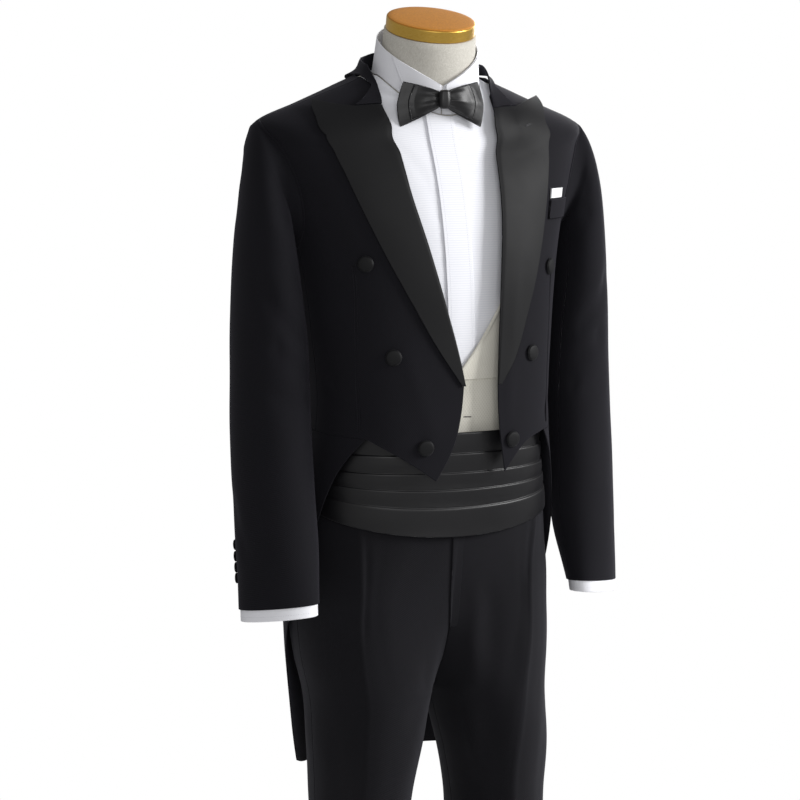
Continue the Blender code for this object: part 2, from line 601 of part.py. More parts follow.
def coat_fronts():
    """The two open fronts, each with its lapel and its three buttons."""
    outer_rows = SIDE_ROWS + ARM_ROWS + SHOULDER_ROWS - 2
    for name, side, edge in SIDES:
        right = joined(
            path(SIDE_SEAM, SIDE_ROWS), path(ARMHOLE_FRONT, ARM_ROWS), path(SHOULDER_SEAM, SHOULDER_ROWS)
        )
        roll_rows = outer_rows - TIP_ROWS + 1
        left = joined(path(edge["tip"], TIP_ROWS), path(edge["roll"], roll_rows))
        bottom = joined(path(edge["foot"], FOOT_COLUMNS), path(WAIST_FRONT, WAIST_COLUMNS))
        top = path((left[-1], (NECK_LEVEL, 88.0)), len(bottom))
        places = patch(left, right, bottom, top)
        panel(f"coat_front_{name}", COAT, sided(places, side), "coat_wool")

        start = edge["gorge"][0]
        below = tuple(place for place in edge["roll"] if place[0] < start[0])
        roll = path(below + (start,), LAPEL_ROWS + PEAK_ROWS - 1)
        roll[:, 1] -= LAPEL_ROLLS_PAST
        rim = joined(path(edge["lapel"], LAPEL_ROWS), path(edge["crest"], PEAK_ROWS))
        gorge = joined(path(edge["gorge"][:2], COLLAR_COLUMNS), path(edge["gorge"][1:], PEAK_COLUMNS))
        gorge[0], gorge[-1] = roll[-1], rim[-1]
        foot = path((roll[0], rim[0]), len(gorge))
        lapel = patch(roll, rim, foot, gorge)
        rise = np.clip((np.arange(len(rim)) - LAPEL_ROWS + 1) / (PEAK_ROWS - 1), 0, 1)
        stand = edge["peak"] * rise[:, None] * np.linspace(0, 1, len(gorge))[None, :] ** 2
        panel(f"lapel_{name}", COAT, sided(lapel, side), "lapel_satin", LAPEL_OUT + stand, SATIN)

        for number, place in enumerate(edge["buttons"], 1):
            level, angle = place[0], place[1] * side
            centre, way = COAT.point(level, angle), COAT.normal(level, angle)
            button(f"front_button_{name}_{number}", centre, way, FRONT_BUTTON_R, "lapel_satin", 10)


def coat_body():
    """Side bodies under the arms, backs that run on into the tails, and the tails' skirts."""
    for name, side, _ in SIDES:
        under = path(ARMHOLE_UNDER, UNDER_COLUMNS)[::-1]
        front, behind = path(SIDE_SEAM, SIDE_ROWS), path(SIDE_BACK_SEAM, SIDE_ROWS)
        body = patch(front, behind, path(WAIST_SIDE, UNDER_COLUMNS), under)
        panel(f"coat_side_{name}", COAT, sided(body, side), "coat_wool")

        seam = joined(
            path(TAIL_SEAM, TAIL_ROWS),
            path(SIDE_BACK_SEAM, BACK_ROWS),
            path(ARMHOLE_BACK, BACK_ARM_ROWS)[::-1],
            path(SHOULDER_SEAM, SHOULDER_ROWS),
        )
        middle = joined(
            path(((TAIL_END, 180.0), (COAT_WAIST, 180.0)), TAIL_ROWS),
            path(((COAT_WAIST, 180.0), (1.345, 180.0)), BACK_ROWS),
            path(((1.345, 180.0), (1.478, 180.0)), BACK_ARM_ROWS),
            path(((1.478, 180.0), (NECK_LEVEL, 180.0)), SHOULDER_ROWS),
        )
        hem = path((seam[0], middle[0]), BACK_COLUMNS)
        neck = path(NECK_EDGE_BACK, BACK_COLUMNS)
        panel(f"coat_back_{name}", COAT, sided(patch(seam, middle, hem, neck), side), "coat_wool")

        edge = path(SKIRT_EDGE, TAIL_ROWS + 3)
        waist = joined(path(WAIST_FRONT, WAIST_COLUMNS), path(WAIST_SIDE, UNDER_COLUMNS))
        behind = path(TAIL_SEAM, TAIL_ROWS + 3)
        hem = path(TAIL_HEM, len(waist))
        panel(f"coat_skirt_{name}", COAT, sided(patch(edge, behind, hem, waist), side), "coat_wool")


def coat_collar():
    """The collar's leaf, folded at the neck and meeting each lapel at the gorge."""
    halves = []
    ends = []
    for _, side, edge in SIDES:
        end = path(edge["gorge"][:2], COLLAR_COLUMNS) + np.array(COLLAR_FROM_LAPEL)
        fold = joined(
            path((tuple(end[0]),) + edge["fold"], LEAF_ROWS),
            path((edge["fold"][-1],) + COLLAR_FOLD_BACK, NAPE_ROWS),
        )
        rim = joined(
            path((tuple(end[-1]),) + edge["leaf"], LEAF_ROWS),
            path((edge["leaf"][-1],) + COLLAR_EDGE_BACK, NAPE_ROWS),
        )
        halves.append((sided(fold, side), sided(rim, side)))
        ends.append(sided(end, side))
    (right_fold, right_rim), (left_fold, left_rim) = halves
    full_turn = np.array([0.0, 360.0])
    fold = joined(right_fold, (left_fold - full_turn)[::-1])
    rim = joined(right_rim, (left_rim - full_turn)[::-1])
    places = patch(fold, rim, ends[0], ends[1] - full_turn)
    stand = np.broadcast_to(COLLAR_EDGE_OUT * np.linspace(0, 1, COLLAR_COLUMNS) ** 2, places.shape[:2])
    panel("coat_collar", COAT, places, "coat_wool", COLLAR_OUT + stand, SATIN)


def breast_pocket():
    """The welt on the wearer's left breast, and the folded square that shows above it."""
    low, high, near, far = 1.3435, 1.3700, 41.0, 58.0
    edges = [((low, near), (high, near)), ((low + 0.002, far), (high + 0.002, far))]
    left, right = (path(e, 3) for e in edges)
    bottom, top = path((left[0], right[0]), 5), path((left[-1], right[-1]), 5)
    panel("breast_welt", COAT, patch(left, right, bottom, top), "coat_wool", WELT_OUT, 0.0022)
    foot, head, far = high + 0.0012, high + 0.0155, 50.5
    left, right = path(((foot, near), (head, near)), 3), path(((foot + 0.0010, far), (head + 0.0005, far)), 3)
    bottom, top = path((left[0], right[0]), 4), path((left[-1], right[-1]), 4)
    panel("pocket_square", COAT, patch(left, right, bottom, top), "pocket_linen", 0.0026, 0.0020)


def armhole(side, count):
    """Places round the armhole, count to each third: from the shoulder to the front and back."""
    thirds = [path(line, count)[::-1][:-1] for line in (ARMHOLE_FRONT, ARMHOLE_UNDER, ARMHOLE_BACK)]
    return sided(np.concatenate(thirds), side)


def raised(places):
    """Places of the armhole with its foot raised, so that the shirt's sleeve clears the coat's."""
    lifted = places.copy()
    lifted[..., 0] += SHIRT_ARM_LIFT * np.clip((1.360 - places[..., 0]) / 0.050, 0, 1)
    return lifted


def ring_of(row, side, angles):
    """A sleeve's ring of points from one row of its table."""
    value = dict(zip(SLEEVE_COLUMNS.split(), row))
    outer = np.array([value["outer_x"], value["middle"], value["outer_z"]])
    inner = np.array([value["inner_x"], value["middle"], value["inner_z"]])
    centre, reach = (outer + inner) / 2, np.linalg.norm(outer - inner) / 2
    outward = (outer - inner) / (2 * reach)
    ahead = np.array([0.0, -1.0, value["rise"]])
    turn = math.radians(value["turn"])
    long_way = ahead * math.cos(turn) - outward * math.sin(turn)
    short_way = outward * math.cos(turn) + ahead * math.sin(turn)
    cosine, sine = np.cos(angles)[:, None], np.sin(angles)[:, None]
    points = centre + short_way * reach * cosine + long_way * value["depth"] * sine
    return points * np.array([side, 1.0, 1.0])


def clear_of_body(points, side, table, gap):
    """Points of a sleeve pushed out sideways where they lie nearer the coat's side than gap."""
    half, front, back, middle, square = table.at(points[..., 2], "half", "front", "back", "middle", "square")
    depth = np.where(points[..., 1] < middle, front + middle, back - middle)
    share = np.clip((points[..., 1] - middle) / depth, -1, 1)
    bulge = 1 + square * (2 * share * np.sqrt(1 - share**2)) ** 2
    wall_x = half * bulge * np.sqrt(1 - np.clip(share / bulge, -1, 1) ** 2) + gap
    x = points[..., 0] * side
    softness = 0.002
    pushed = wall_x + softness * np.log1p(np.exp(np.clip((x - wall_x) / softness, -40, 40)))
    result = points.copy()
    result[..., 0] = np.where(x > wall_x + 0.02, x, pushed) * side
    return result


def tube_normals(grid, side):
    """The way out at each point of a tube of rings."""
    around = np.roll(grid, -1, axis=1) - np.roll(grid, 1, axis=1)
    along = np.gradient(grid, axis=0)
    across = np.cross(around, along) * side
    return across / np.linalg.norm(across, axis=-1, keepdims=True)


def sleeve_grid(side, count):
    """The rings of a sleeve, from the armhole to the hem, and the way out at each point."""
    around = np.radians(np.arange(3 * (count - 1)) * 120.0 / (count - 1))
    head = COAT.grid(armhole(side, count)) + np.array([side * 0.0009, 0.0, 0.0])
    rings = [head] + [ring_of(row, side, around) for row in SLEEVE_ROWS]
    grid = np.stack(rings)
    table = Table(TORSO_COLUMNS, COAT_ROWS)
    grid[1:] = clear_of_body(grid[1:], side, table, SLEEVE_CLEAR)
    return grid, tube_normals(grid, side)


def coat_sleeves():
    """Each sleeve's top and under halves, and four buttons up the back seam."""
    for name, side, _ in SIDES:
        grid, way = sleeve_grid(side, ARM_ROWS)
        inner = grid - way * CLOTH
        round_it = grid.shape[1]
        top = np.arange(UNDER_SLEEVE_BACK, TOP_SLEEVE_FRONT + round_it + 1) % round_it
        under = np.arange(TOP_SLEEVE_FRONT, UNDER_SLEEVE_BACK + 1)
        for half, columns in (("top", top), ("under", under)):
            outer_half = drawn_in(grid[:, columns], rows=False)
            inner_half = drawn_in(inner[:, columns], rows=False)
            wall(f"sleeve_{half}_{name}", outer_half, inner_half, "coat_wool")
        for number in range(4):
            place = len(grid) - 1.48 - number * 0.165
            row, part = int(place), place - int(place)
            column = UNDER_SLEEVE_BACK + 1
            centre = grid[row, column] * (1 - part) + grid[row + 1, column] * part
            outward = way[row, column] * (1 - part) + way[row + 1, column] * part
            button(f"sleeve_button_{name}_{number + 1}", centre, outward, SLEEVE_BUTTON_R, "lapel_satin", 8)


def shirt_body():
    """The shirt's front and back round the form, and the placket down the front."""
    side_seam = path(((0.965, 84.0), (1.140, 84.0), (1.320, 84.0)), 5)
    shoulder = path(SHOULDER_SEAM, SHOULDER_ROWS)
    front_arm = raised(path(ARMHOLE_FRONT, SHIRT_ARM_ROWS))
    under = raised(path(ARMHOLE_UNDER, SHIRT_ARM_ROWS))[::-1]
    back_arm = raised(path(ARMHOLE_BACK, SHIRT_ARM_ROWS))[::-1]
    side_seam[-1] = front_arm[0]
    left = joined(side_seam, front_arm, shoulder)
    bottom = path(((0.965, -84.0), (0.965, 84.0)), 11)
    top = path(((NECK_LEVEL, -88.0), (NECK_LEVEL, 88.0)), 11)
    panel("shirt_front", SHIRT, patch(sided(left, -1.0), left, bottom, top), "shirt_cotton", 0.0, FINE_CLOTH)

    left = joined(side_seam, under, back_arm, shoulder)
    right = left * np.array([1.0, -1.0]) + np.array([0.0, 360.0])
    bottom = path((left[0], right[0]), 11)
    top = path((left[-1], right[-1]), 11)
    panel("shirt_back", SHIRT, patch(left, right, bottom, top), "shirt_cotton", 0.0, FINE_CLOTH)

    levels = np.array(PLACKET_LEVELS)
    halves, = FORM_TABLE.at(levels, "half")
    edges = []
    for reach in PLACKET_SIDES:
        reaches = reach - (levels - 1.3) * PLACKET_LEANS
        edges.append(np.stack([levels, np.degrees(np.arcsin(reaches / halves))], -1))
    left, right = edges
    foot, head = path((left[0], right[0]), 3), path((left[-1], right[-1]), 3)
    panel("shirt_placket", SHIRT, patch(left, right, foot, head), "shirt_cotton", PLACKET_OUT, FINE_CLOTH)


def collar_surface():
    """The standing collar: level 0 at its foot and 1 at its top."""

    angles, heights = np.array(COLLAR_TOP_LEVELS).T

    def point(level, angle):
        turn = np.radians(angle)
        foot = SHIRT.point(NECK_LEVEL + 0 * level, angle)
        away = np.abs((angle - SHIRT_TURN + 180.0) % 360.0 - 180.0)
        top = np.stack(
            [
                COLLAR_TOP_HALF * np.sin(turn),
                COLLAR_TOP_MIDDLE - COLLAR_TOP_DEPTH * np.cos(turn),
                np.interp(away, angles, heights),
            ],
            -1,
        )
        share = np.asarray(level)[..., None]
        return foot * (1 - share) + top * share

    return Surface(point)


def shirt_collar():
    """The collar band that stands round the neck, open in front, and its two wings."""
    band = collar_surface()
    turn = SHIRT_TURN
    left = path(((0.03, turn + 0.3), (1.0, turn + 0.3)), 4)
    right = left + np.array([0.0, 359.4])
    bottom = path((left[0], right[0]), 25)
    top = path((left[-1], right[-1]), 25)
    panel("shirt_collar_band", band, patch(left, right, bottom, top), "shirt_cotton", 0.0, FINE_CLOTH)
    for name, side, _ in SIDES:
        near, far = WING_FROM, WING_TO
        drop = 1.0 - WING_TALL / 0.045
        inside = path(((0.80, near), (0.90, near), (1.0, near)), 4)
        outside = path(((drop, far - 20.0), (0.62, far - 11.0), (1.0, far)), 4)
        low = path((inside[0], outside[0]), 5)
        high = path((inside[-1], outside[-1]), 5)
        places = sided(patch(inside, outside, low, high), side) + np.array([0.0, turn])
        share = 1.0 - places[..., 0]
        stand = 0.0020 + 0.0030 * share
        panel(f"shirt_wing_{name}", band, places, "shirt_cotton", stand, FINE_CLOTH)


def shirt_sleeves():
    """Each shirt sleeve inside the coat's, and the cuff that shows below the coat's hem."""
    for name, side, _ in SIDES:
        grid, way = sleeve_grid(side, ARM_ROWS)
        down = grid[-1].mean(axis=0) - grid[-2].mean(axis=0)
        down /= np.linalg.norm(down)
        hem = grid[-1] - way[-1] * CUFF_IN
        cuff = np.stack([hem + down * (CUFF_SHOWS - CUFF_TALL), hem, hem + down * CUFF_SHOWS])
        out = tube_normals(cuff, side)
        wall(f"shirt_cuff_{name}", cuff, cuff - out * SATIN, "shirt_cotton", around=True)

        grid, way = sleeve_grid(side, SHIRT_ARM_ROWS)
        head = SHIRT.grid(raised(armhole(side, SHIRT_ARM_ROWS))) + np.array([side * 0.0009, 0.0, 0.0])
        rows, ways_in = [1, 3, 5, 7, 8], np.array(SHIRT_SLEEVE_IN)[:, None, None]
        inside = grid[rows] - way[rows] * ways_in
        inside[0, :, 2] += SHIRT_HEAD_LIFT
        foot = grid[-1] - way[-1] * (CUFF_IN + SATIN / 2) + down * (CUFF_SHOWS - CUFF_TALL - SEAM)
        tube = np.concatenate([head[None], inside, foot[None]])
        out = tube_normals(tube, side)
        wall(f"shirt_sleeve_{name}", tube, tube - out * FINE_CLOTH, "shirt_cotton", around=True)


def waistcoat():
    """Two fronts with a deep opening, a plain back, and the band below them."""
    levels = np.array([row[0] for row in OPENING])
    reaches = np.array([row[1] for row in OPENING])
    halves, = FORM_TABLE.at(levels, "half")
    foot_angle = math.degrees(math.asin(WAISTCOAT_MIDDLE / halves[0]))
    shoulder = path(((1.5120, 84.0), (1.4840, 88.0)), 7)
    for name, side, _ in SIDES:
        away = (reaches if side > 0 else reaches - 2 * WAISTCOAT_MIDDLE) / halves
        opening = np.stack([levels, np.degrees(np.arcsin(away))], -1)
        start = (WAISTCOAT_FOOT, foot_angle * side)
        inside = joined(path((start, opening[0]), 2), path(np.concatenate([opening, shoulder[:1]]), 12))
        outside = joined(
            path(((WAISTCOAT_FOOT, 88.0), (1.215, 88.0), (1.285, 88.0)), 4),
            path(WAISTCOAT_ARM_FRONT, len(inside) - 3),
        )
        foot = path((inside[0], outside[0]), 7)
        places = sided(patch(inside, outside, foot, shoulder), side)
        panel(f"waistcoat_front_{name}", WAISTCOAT, places, "waistcoat_cotton", 0.0, FINE_CLOTH)
    left = joined(
        path(((WAISTCOAT_FOOT, 88.0), (1.215, 88.0), (1.285, 88.0)), 3),
        path(WAISTCOAT_ARM_BACK, 7),
        path((WAISTCOAT_ARM_BACK[-1], (1.5120, 90.0)), 3),
    )
    right = left * np.array([1.0, -1.0]) + np.array([0.0, 360.0])
    foot, top = path((left[0], right[0]), 11), path((left[-1], (1.5140, 180.0), right[-1]), 11)
    places = patch(left, right, foot, top)
    panel("waistcoat_back", WAISTCOAT, places, "waistcoat_cotton", WAISTCOAT_BACK_OUT, FINE_CLOTH)

    left = path(((WAISTCOAT_BAND_FOOT, -80.0), (WAISTCOAT_BAND_TOP, -80.0)), 4)
    right = left * np.array([1.0, -1.0])
    foot, top = path((left[0], right[0]), 15), path((left[-1], right[-1]), 15)
    band = patch(left, right, foot, top)
    panel("waistcoat_band", WAISTCOAT_BAND, band, "waistcoat_cotton", 0.0, FINE_CLOTH)


def cummerbund():
    """The sash round the waist: folds that open upwards in front and run together behind."""
    angles = np.arange(SASH_COLUMNS) * 360.0 / SASH_COLUMNS
    aside = np.abs((angles + 180.0) % 360.0 - 180.0)
    behind = np.clip((aside - SASH_REACH) / (180.0 - SASH_REACH), 0, 1)
    behind = behind**2 * (3 - 2 * behind)
    first, last = SASH_FOLDS[0], SASH_FOLDS[-1]
    rows, stands = [], []
    for high, low in zip(SASH_FOLDS, SASH_FOLDS[1:]):
        for level, stand in ((high - SASH_LIP / 2, SASH_STEP), (low + SASH_LIP / 2, 0.0)):
            share = (first - level) / (first - last)
            side_rise = np.sin(np.radians(np.minimum(aside, 104.0) / 1.15)) ** 2
            front = level + SASH_FOOT_RISE * share**2 * side_rise
            strap = SASH_STRAP[0] + (SASH_STRAP[1] - SASH_STRAP[0]) * share
            rows.append(np.stack([front * (1 - behind) + strap * behind, angles], -1))
            stands.append(np.full(len(angles), stand) * (1 - 0.6 * behind))
    places, stands = np.array(rows)[::-1], np.array(stands)[::-1]
    outer = SASH.grid(places, stands)
    inner = SASH.grid(places, np.full(places.shape[:2], -CLOTH))
    wall("cummerbund", outer, inner, "sash_satin", around=True)


def leg_surface(crease):
    """A trouser leg: 0 at the inseam or the centre seam, 90 at the crease, 180 at the side and on
    to 360 behind. Above the hips both legs run together into the girth of the waist."""
    table = Table(LEG_COLUMNS, LEG_ROWS)
    lines = np.array(crease, float)

    def point(level, angle):
        centre, outer, inner, front, back, middle = table.at(
            level, "centre", "outer", "inner", "front", "back", "middle"
        )
        seam = np.degrees(np.arccos(np.clip((centre - SEAM) / inner, -1, 1)))
        line, tall = (blend(lines[:, 0], lines[:, i], level) for i in (1, 2))
        to_crease = seam + (90.0 + line - seam) * angle / 90.0
        to_side = 90.0 + line + (90.0 - line) * (angle - 90.0) / 90.0
        to_back = 180.0 + (180.0 - seam) * (angle - 180.0) / 180.0
        turn = np.radians(np.where(angle < 90.0, to_crease, np.where(angle < 180.0, to_side, to_back)))
        sine, cosine = np.sin(turn), np.cos(turn)
        reach = np.where(cosine > 0, inner, outer)
        depth = np.where(sine > 0, front + middle, back - middle)
        leg = np.stack(
            np.broadcast_arrays(centre - reach * cosine, middle - depth * sine, level + 0.0 * sine), -1
        )
        share = np.clip((level - HIPS_FROM) / (HIPS_FULL - HIPS_FROM), 0, 1)
        share = np.asarray(share**2 * (3 - 2 * share))[..., None]
        hips = HIPS.point(level, np.asarray(angle) / 2)
        ridge = np.asarray(tall * np.clip(1 - np.abs(angle - 90.0) / CREASE_SPREAD, 0, 1))[..., None]
        return leg * (1 - share) + hips * share + ridge * np.array([0.0, -1.0, 0.0])

    return Surface(point)


def trousers():
    """Each leg's front and back panel, from the hem to the waist, and the waistband."""
    levels = np.array(TROUSER_LEVELS)
    for name, side, _ in SIDES:
        leg = leg_surface(RIGHT_CREASE if side < 0 else LEFT_CREASE)
        for half, angles in (("front", TROUSER_FRONT), ("back", TROUSER_BACK)):
            places = np.stack(np.meshgrid(levels, angles, indexing="ij"), -1)
            outer = leg.grid(places)
            inner = leg.grid(places, np.full(places.shape[:2], -CLOTH))
            on_seam = (places[..., 1] % 360.0 == 0) & (places[..., 0] > FORK_LEVEL)
            inner[..., 0] = np.where(on_seam, outer[..., 0], inner[..., 0])
            for grid in (outer, inner):
                grid[..., 0] *= side
            wall(f"trouser_{half}_{name}", drawn_in(outer), drawn_in(inner), "trouser_wool")
    angles = np.arange(SASH_COLUMNS) * 360.0 / SASH_COLUMNS
    places = np.stack(np.meshgrid((WAISTBAND_FROM, WAISTBAND_TOP), angles, indexing="ij"), -1)
    outer, inner = HIPS.grid(places), HIPS.grid(places, np.full(places.shape[:2], -WAISTBAND_THICK))
    outer, inner = drawn_in(outer, columns=False), drawn_in(inner, columns=False)
    wall("trouser_waistband", outer, inner, "trouser_wool", around=True)


def bow_wing(name, side, span, root, tip, thick, lean, forward):
    """A bow's wing: a puffed leaf, narrow at the knot and tall at its outer end."""
    rows, columns = 7, 6
    outer, inner = [], []
    for i in range(rows):
        along = i / (rows - 1)
        reach = KNOT_W / 2 + 0.0004 + (span - KNOT_W / 2) * along
        half = root + (tip - root) * along ** 0.8
        puff = thick * (0.35 + 0.65 * math.sin(math.pi * min(1.0, along * 1.15 + 0.05)))
        top, low = [], []
        for j in range(columns):
            across = -1 + 2 * j / (columns - 1)
            x = reach + 0.004 * (1 - across**2) * along - 0.0045 * along * max(0.0, across)
            z = half * across - lean * along
            belly = puff * (1 - 0.75 * across**2)
            sweep = 0.0065 * along**2
            top.append((side * x, sweep - forward - belly, z))
            low.append((side * x, sweep - forward + 0.35 * belly + 0.0010, z))
        outer.append(top)
        inner.append(low)
    return wall(name, placed_bow(np.array(outer)), placed_bow(np.array(inner)), "sash_satin")


def placed_bow(points):
    """Points of the bow, turned with the neck and moved to its front."""
    turn = math.radians(BOW_TURN)
    x = points[..., 0] * math.cos(turn) - points[..., 1] * math.sin(turn)
    y = points[..., 0] * math.sin(turn) + points[..., 1] * math.cos(turn)
    return np.stack([x + BOW_X, y + BOW_Y, points[..., 2] + BOW_Z], -1)


def bow_tie():
    """Two puffed wings in front, two flatter ones behind them, and the knot."""
    for name, side, _ in SIDES:
        bow_wing(f"bow_loop_{name}", side, BOW_SPAN * 0.90, 0.0085, 0.0215, 0.0052, 0.004, 0.0048)
        bow_wing(f"bow_wing_{name}", side, BOW_SPAN, 0.0090, 0.0250, 0.0022, 0.006, -0.0010)
    rows, around = 5, 12
    turns = np.radians(np.arange(around) * 360.0 / around)
    rings = []
    for i in range(rows):
        up = -1 + 2 * i / (rows - 1)
        swell = 0.82 + 0.18 * (1 - up**2)
        x = KNOT_W / 2 * swell * np.sign(np.cos(turns)) * np.abs(np.cos(turns)) ** 0.7
        y = -KNOT_D / 2 * np.sin(turns) * swell - 0.0085
        rings.append(placed_bow(np.stack([x, y, np.full(around, up * KNOT_H / 2)], -1)))
    loft("bow_knot", rings, "sash_satin")


def dress_form():
    """The covered trunk and neck, the cap, the pole and the round base."""
    rings = [TRUNK.grid(np.stack([np.full(20, level), ROUND_FORM], -1)) for level in FORM_LEVELS]
    turn, lean = math.radians(CAP_TURN), math.radians(CAP_TILT)
    ahead = np.array([math.sin(turn), -math.cos(turn), 0.0])

    def neck_ring(angles, radius, centre, slope):
        ring = radius * np.stack([np.sin(angles), -np.cos(angles), 0.0 * angles], -1)
        drop = slope * (ring @ ahead)
        return np.array(centre) + ring - drop[:, None] * np.array([0.0, 0.0, 1.0])

    foot, around = np.array(CAP_FOOT), np.radians(ROUND_FORM)
    rings.append(neck_ring(around, 0.0620, (0.0, -0.0215, 1.5330), 0.40))
    rings.append(neck_ring(around, NECK_R, (0.0, -0.0275, 1.5530), 0.34))
    neck_top = foot - np.array([0.0, 0.0, SEAM])
    rings.append(neck_ring(around, NECK_R - 0.0012, neck_top, math.tan(lean)))
    loft("form_body", rings, "form_jersey")
    way = ahead * math.sin(lean) + np.array([0.0, 0.0, math.cos(lean)])
    cap = [
        neck_ring(np.radians(np.arange(32) * 11.25), radius, foot + way * height, math.tan(lean))
        for radius, height in (
            (CAP_R - 0.001, 0.0), (CAP_R, 0.001), (CAP_R, CAP_TALL - 0.0015), (CAP_R - 0.0015, CAP_TALL),
            (CAP_R * 0.5, CAP_TALL + CAP_CROWN),
        )
    ]
    loft("form_cap", cap, "cap_brass", crease=30.0)

    bpy.ops.mesh.primitive_cylinder_add(
        vertices=16, radius=POLE_R, depth=FORM_BOTTOM - SEAM - BASE_TALL - SEAM,
        location=(POLE_X, POLE_Y, (FORM_BOTTOM + BASE_TALL) / 2),
    )
    adopt("stand_pole", "stand_steel")
    bm = bmesh.new()
    bmesh.ops.create_cone(
        bm, cap_ends=True, cap_tris=False, segments=40, radius1=BASE_R, radius2=BASE_R, depth=BASE_TALL
    )
    rim = [e for e in bm.edges if all(v.co.z > 0 for v in e.verts)]
    bmesh.ops.bevel(bm, geom=rim, offset=BASE_EDGE, segments=2, profile=0.5, affect="EDGES")
    bmesh.ops.translate(bm, vec=(0.0, 0.0, BASE_TALL / 2), verts=bm.verts)
    built("stand_base", bm, "stand_steel", crease=30.0)


def adopt(name, finish):
    """The primitive just added, named and moved to the part's collection."""
    obj = bpy.context.object
    obj.name = name
    obj.data.name = name
    obj.data.materials.append(finish_of(finish))
    obj.data.shade_smooth()
    obj.data.set_sharp_from_angle(angle=math.radians(40.0))
    for collection in list(obj.users_collection):
        collection.objects.unlink(obj)
    PARTS.objects.link(obj)


def main():
    clear_scene()
    dress_form()
    shirt_body()
    shirt_collar()
    shirt_sleeves()
    waistcoat()
    trousers()
    cummerbund()
    bow_tie()
    coat_body()
    coat_fronts()
    coat_collar()
    coat_sleeves()
    breast_pocket()


main()
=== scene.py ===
"""A double-breasted evening tailcoat, worn open over its suit on a limbless dress form, dressed for
a picture: cloth with its weave, folds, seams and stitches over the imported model's solids.

Metres, +Z up, the clothes face -Y and the wearer's left is +X. Cloth lies on ring surfaces, on which
a place is a level and an angle: 0 at the front, 90 at the wearer's left and 180 behind.
"""

from __future__ import annotations

import logging
import math
from dataclasses import dataclass, field
from enum import Enum
from typing import Any, Callable, Iterable, Sequence

import bpy
import numpy as np
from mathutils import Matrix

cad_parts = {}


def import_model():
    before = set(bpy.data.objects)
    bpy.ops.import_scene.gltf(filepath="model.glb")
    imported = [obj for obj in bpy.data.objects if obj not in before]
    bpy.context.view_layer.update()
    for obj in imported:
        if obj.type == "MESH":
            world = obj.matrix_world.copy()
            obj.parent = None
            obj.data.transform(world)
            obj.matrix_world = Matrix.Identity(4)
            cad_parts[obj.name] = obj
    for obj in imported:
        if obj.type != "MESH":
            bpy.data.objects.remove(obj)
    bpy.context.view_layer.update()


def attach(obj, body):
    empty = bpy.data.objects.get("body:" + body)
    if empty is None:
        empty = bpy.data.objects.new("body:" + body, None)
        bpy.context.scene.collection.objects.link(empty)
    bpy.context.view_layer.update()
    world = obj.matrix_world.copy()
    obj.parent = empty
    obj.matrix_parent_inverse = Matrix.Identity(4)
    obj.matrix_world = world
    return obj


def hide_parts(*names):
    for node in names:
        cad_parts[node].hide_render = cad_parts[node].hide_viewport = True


LOG = logging.getLogger("tailcoat")
Array = np.ndarray
Places = Sequence[tuple[float, float]]
Rows = Sequence[tuple[float, ...]]
Piece = bpy.types.Object
Tree = bpy.types.NodeTree
Socket = bpy.types.NodeSocket
Drawn = tuple[Socket, Socket, Socket, tuple[float, float], tuple[float, float]]

# Cloth and seams
CLOTH = 0.0016
FINE_CLOTH = 0.0012
SATIN = 0.0018
SEAM = 0.0003
LAPEL_OUT = 0.0035
COLLAR_OUT = 0.0036
WELT_OUT = 0.0029
PLACKET_OUT = 0.0024
SHIRT_SLEEVE_IN = (0.0095, 0.0065, 0.0052, 0.0052, 0.0052)
SHIRT_HEAD_LIFT = 0.006
SHIRT_ARM_LIFT = 0.018
PLACKET_LEVELS = (
    1.153, 1.19, 1.225, 1.26, 1.295, 1.325, 1.355, 1.385, 1.415, 1.443, 1.468, 1.49, 1.508, 1.5235
)
PLACKET_SIDES = (-0.0225, 0.0145)
PLACKET_LEANS = 0.04
CUFF_IN = 0.0023
CUFF_SHOWS = 0.015
CUFF_TALL = 0.05

# Buttons
BUTTON_RISE = 0.0002

# Stand
BASE_R = 0.19
BASE_TALL = 0.012
BASE_EDGE = 0.004
POLE_R = 0.0125
POLE_X = -0.098
POLE_Y = -0.014
FORM_BOTTOM = 0.87

COAT_WAIST = 1.078
TAIL_END = 0.615
NECK_LEVEL = 1.525


TORSO_COLUMNS = "level half front back middle square dip rise"

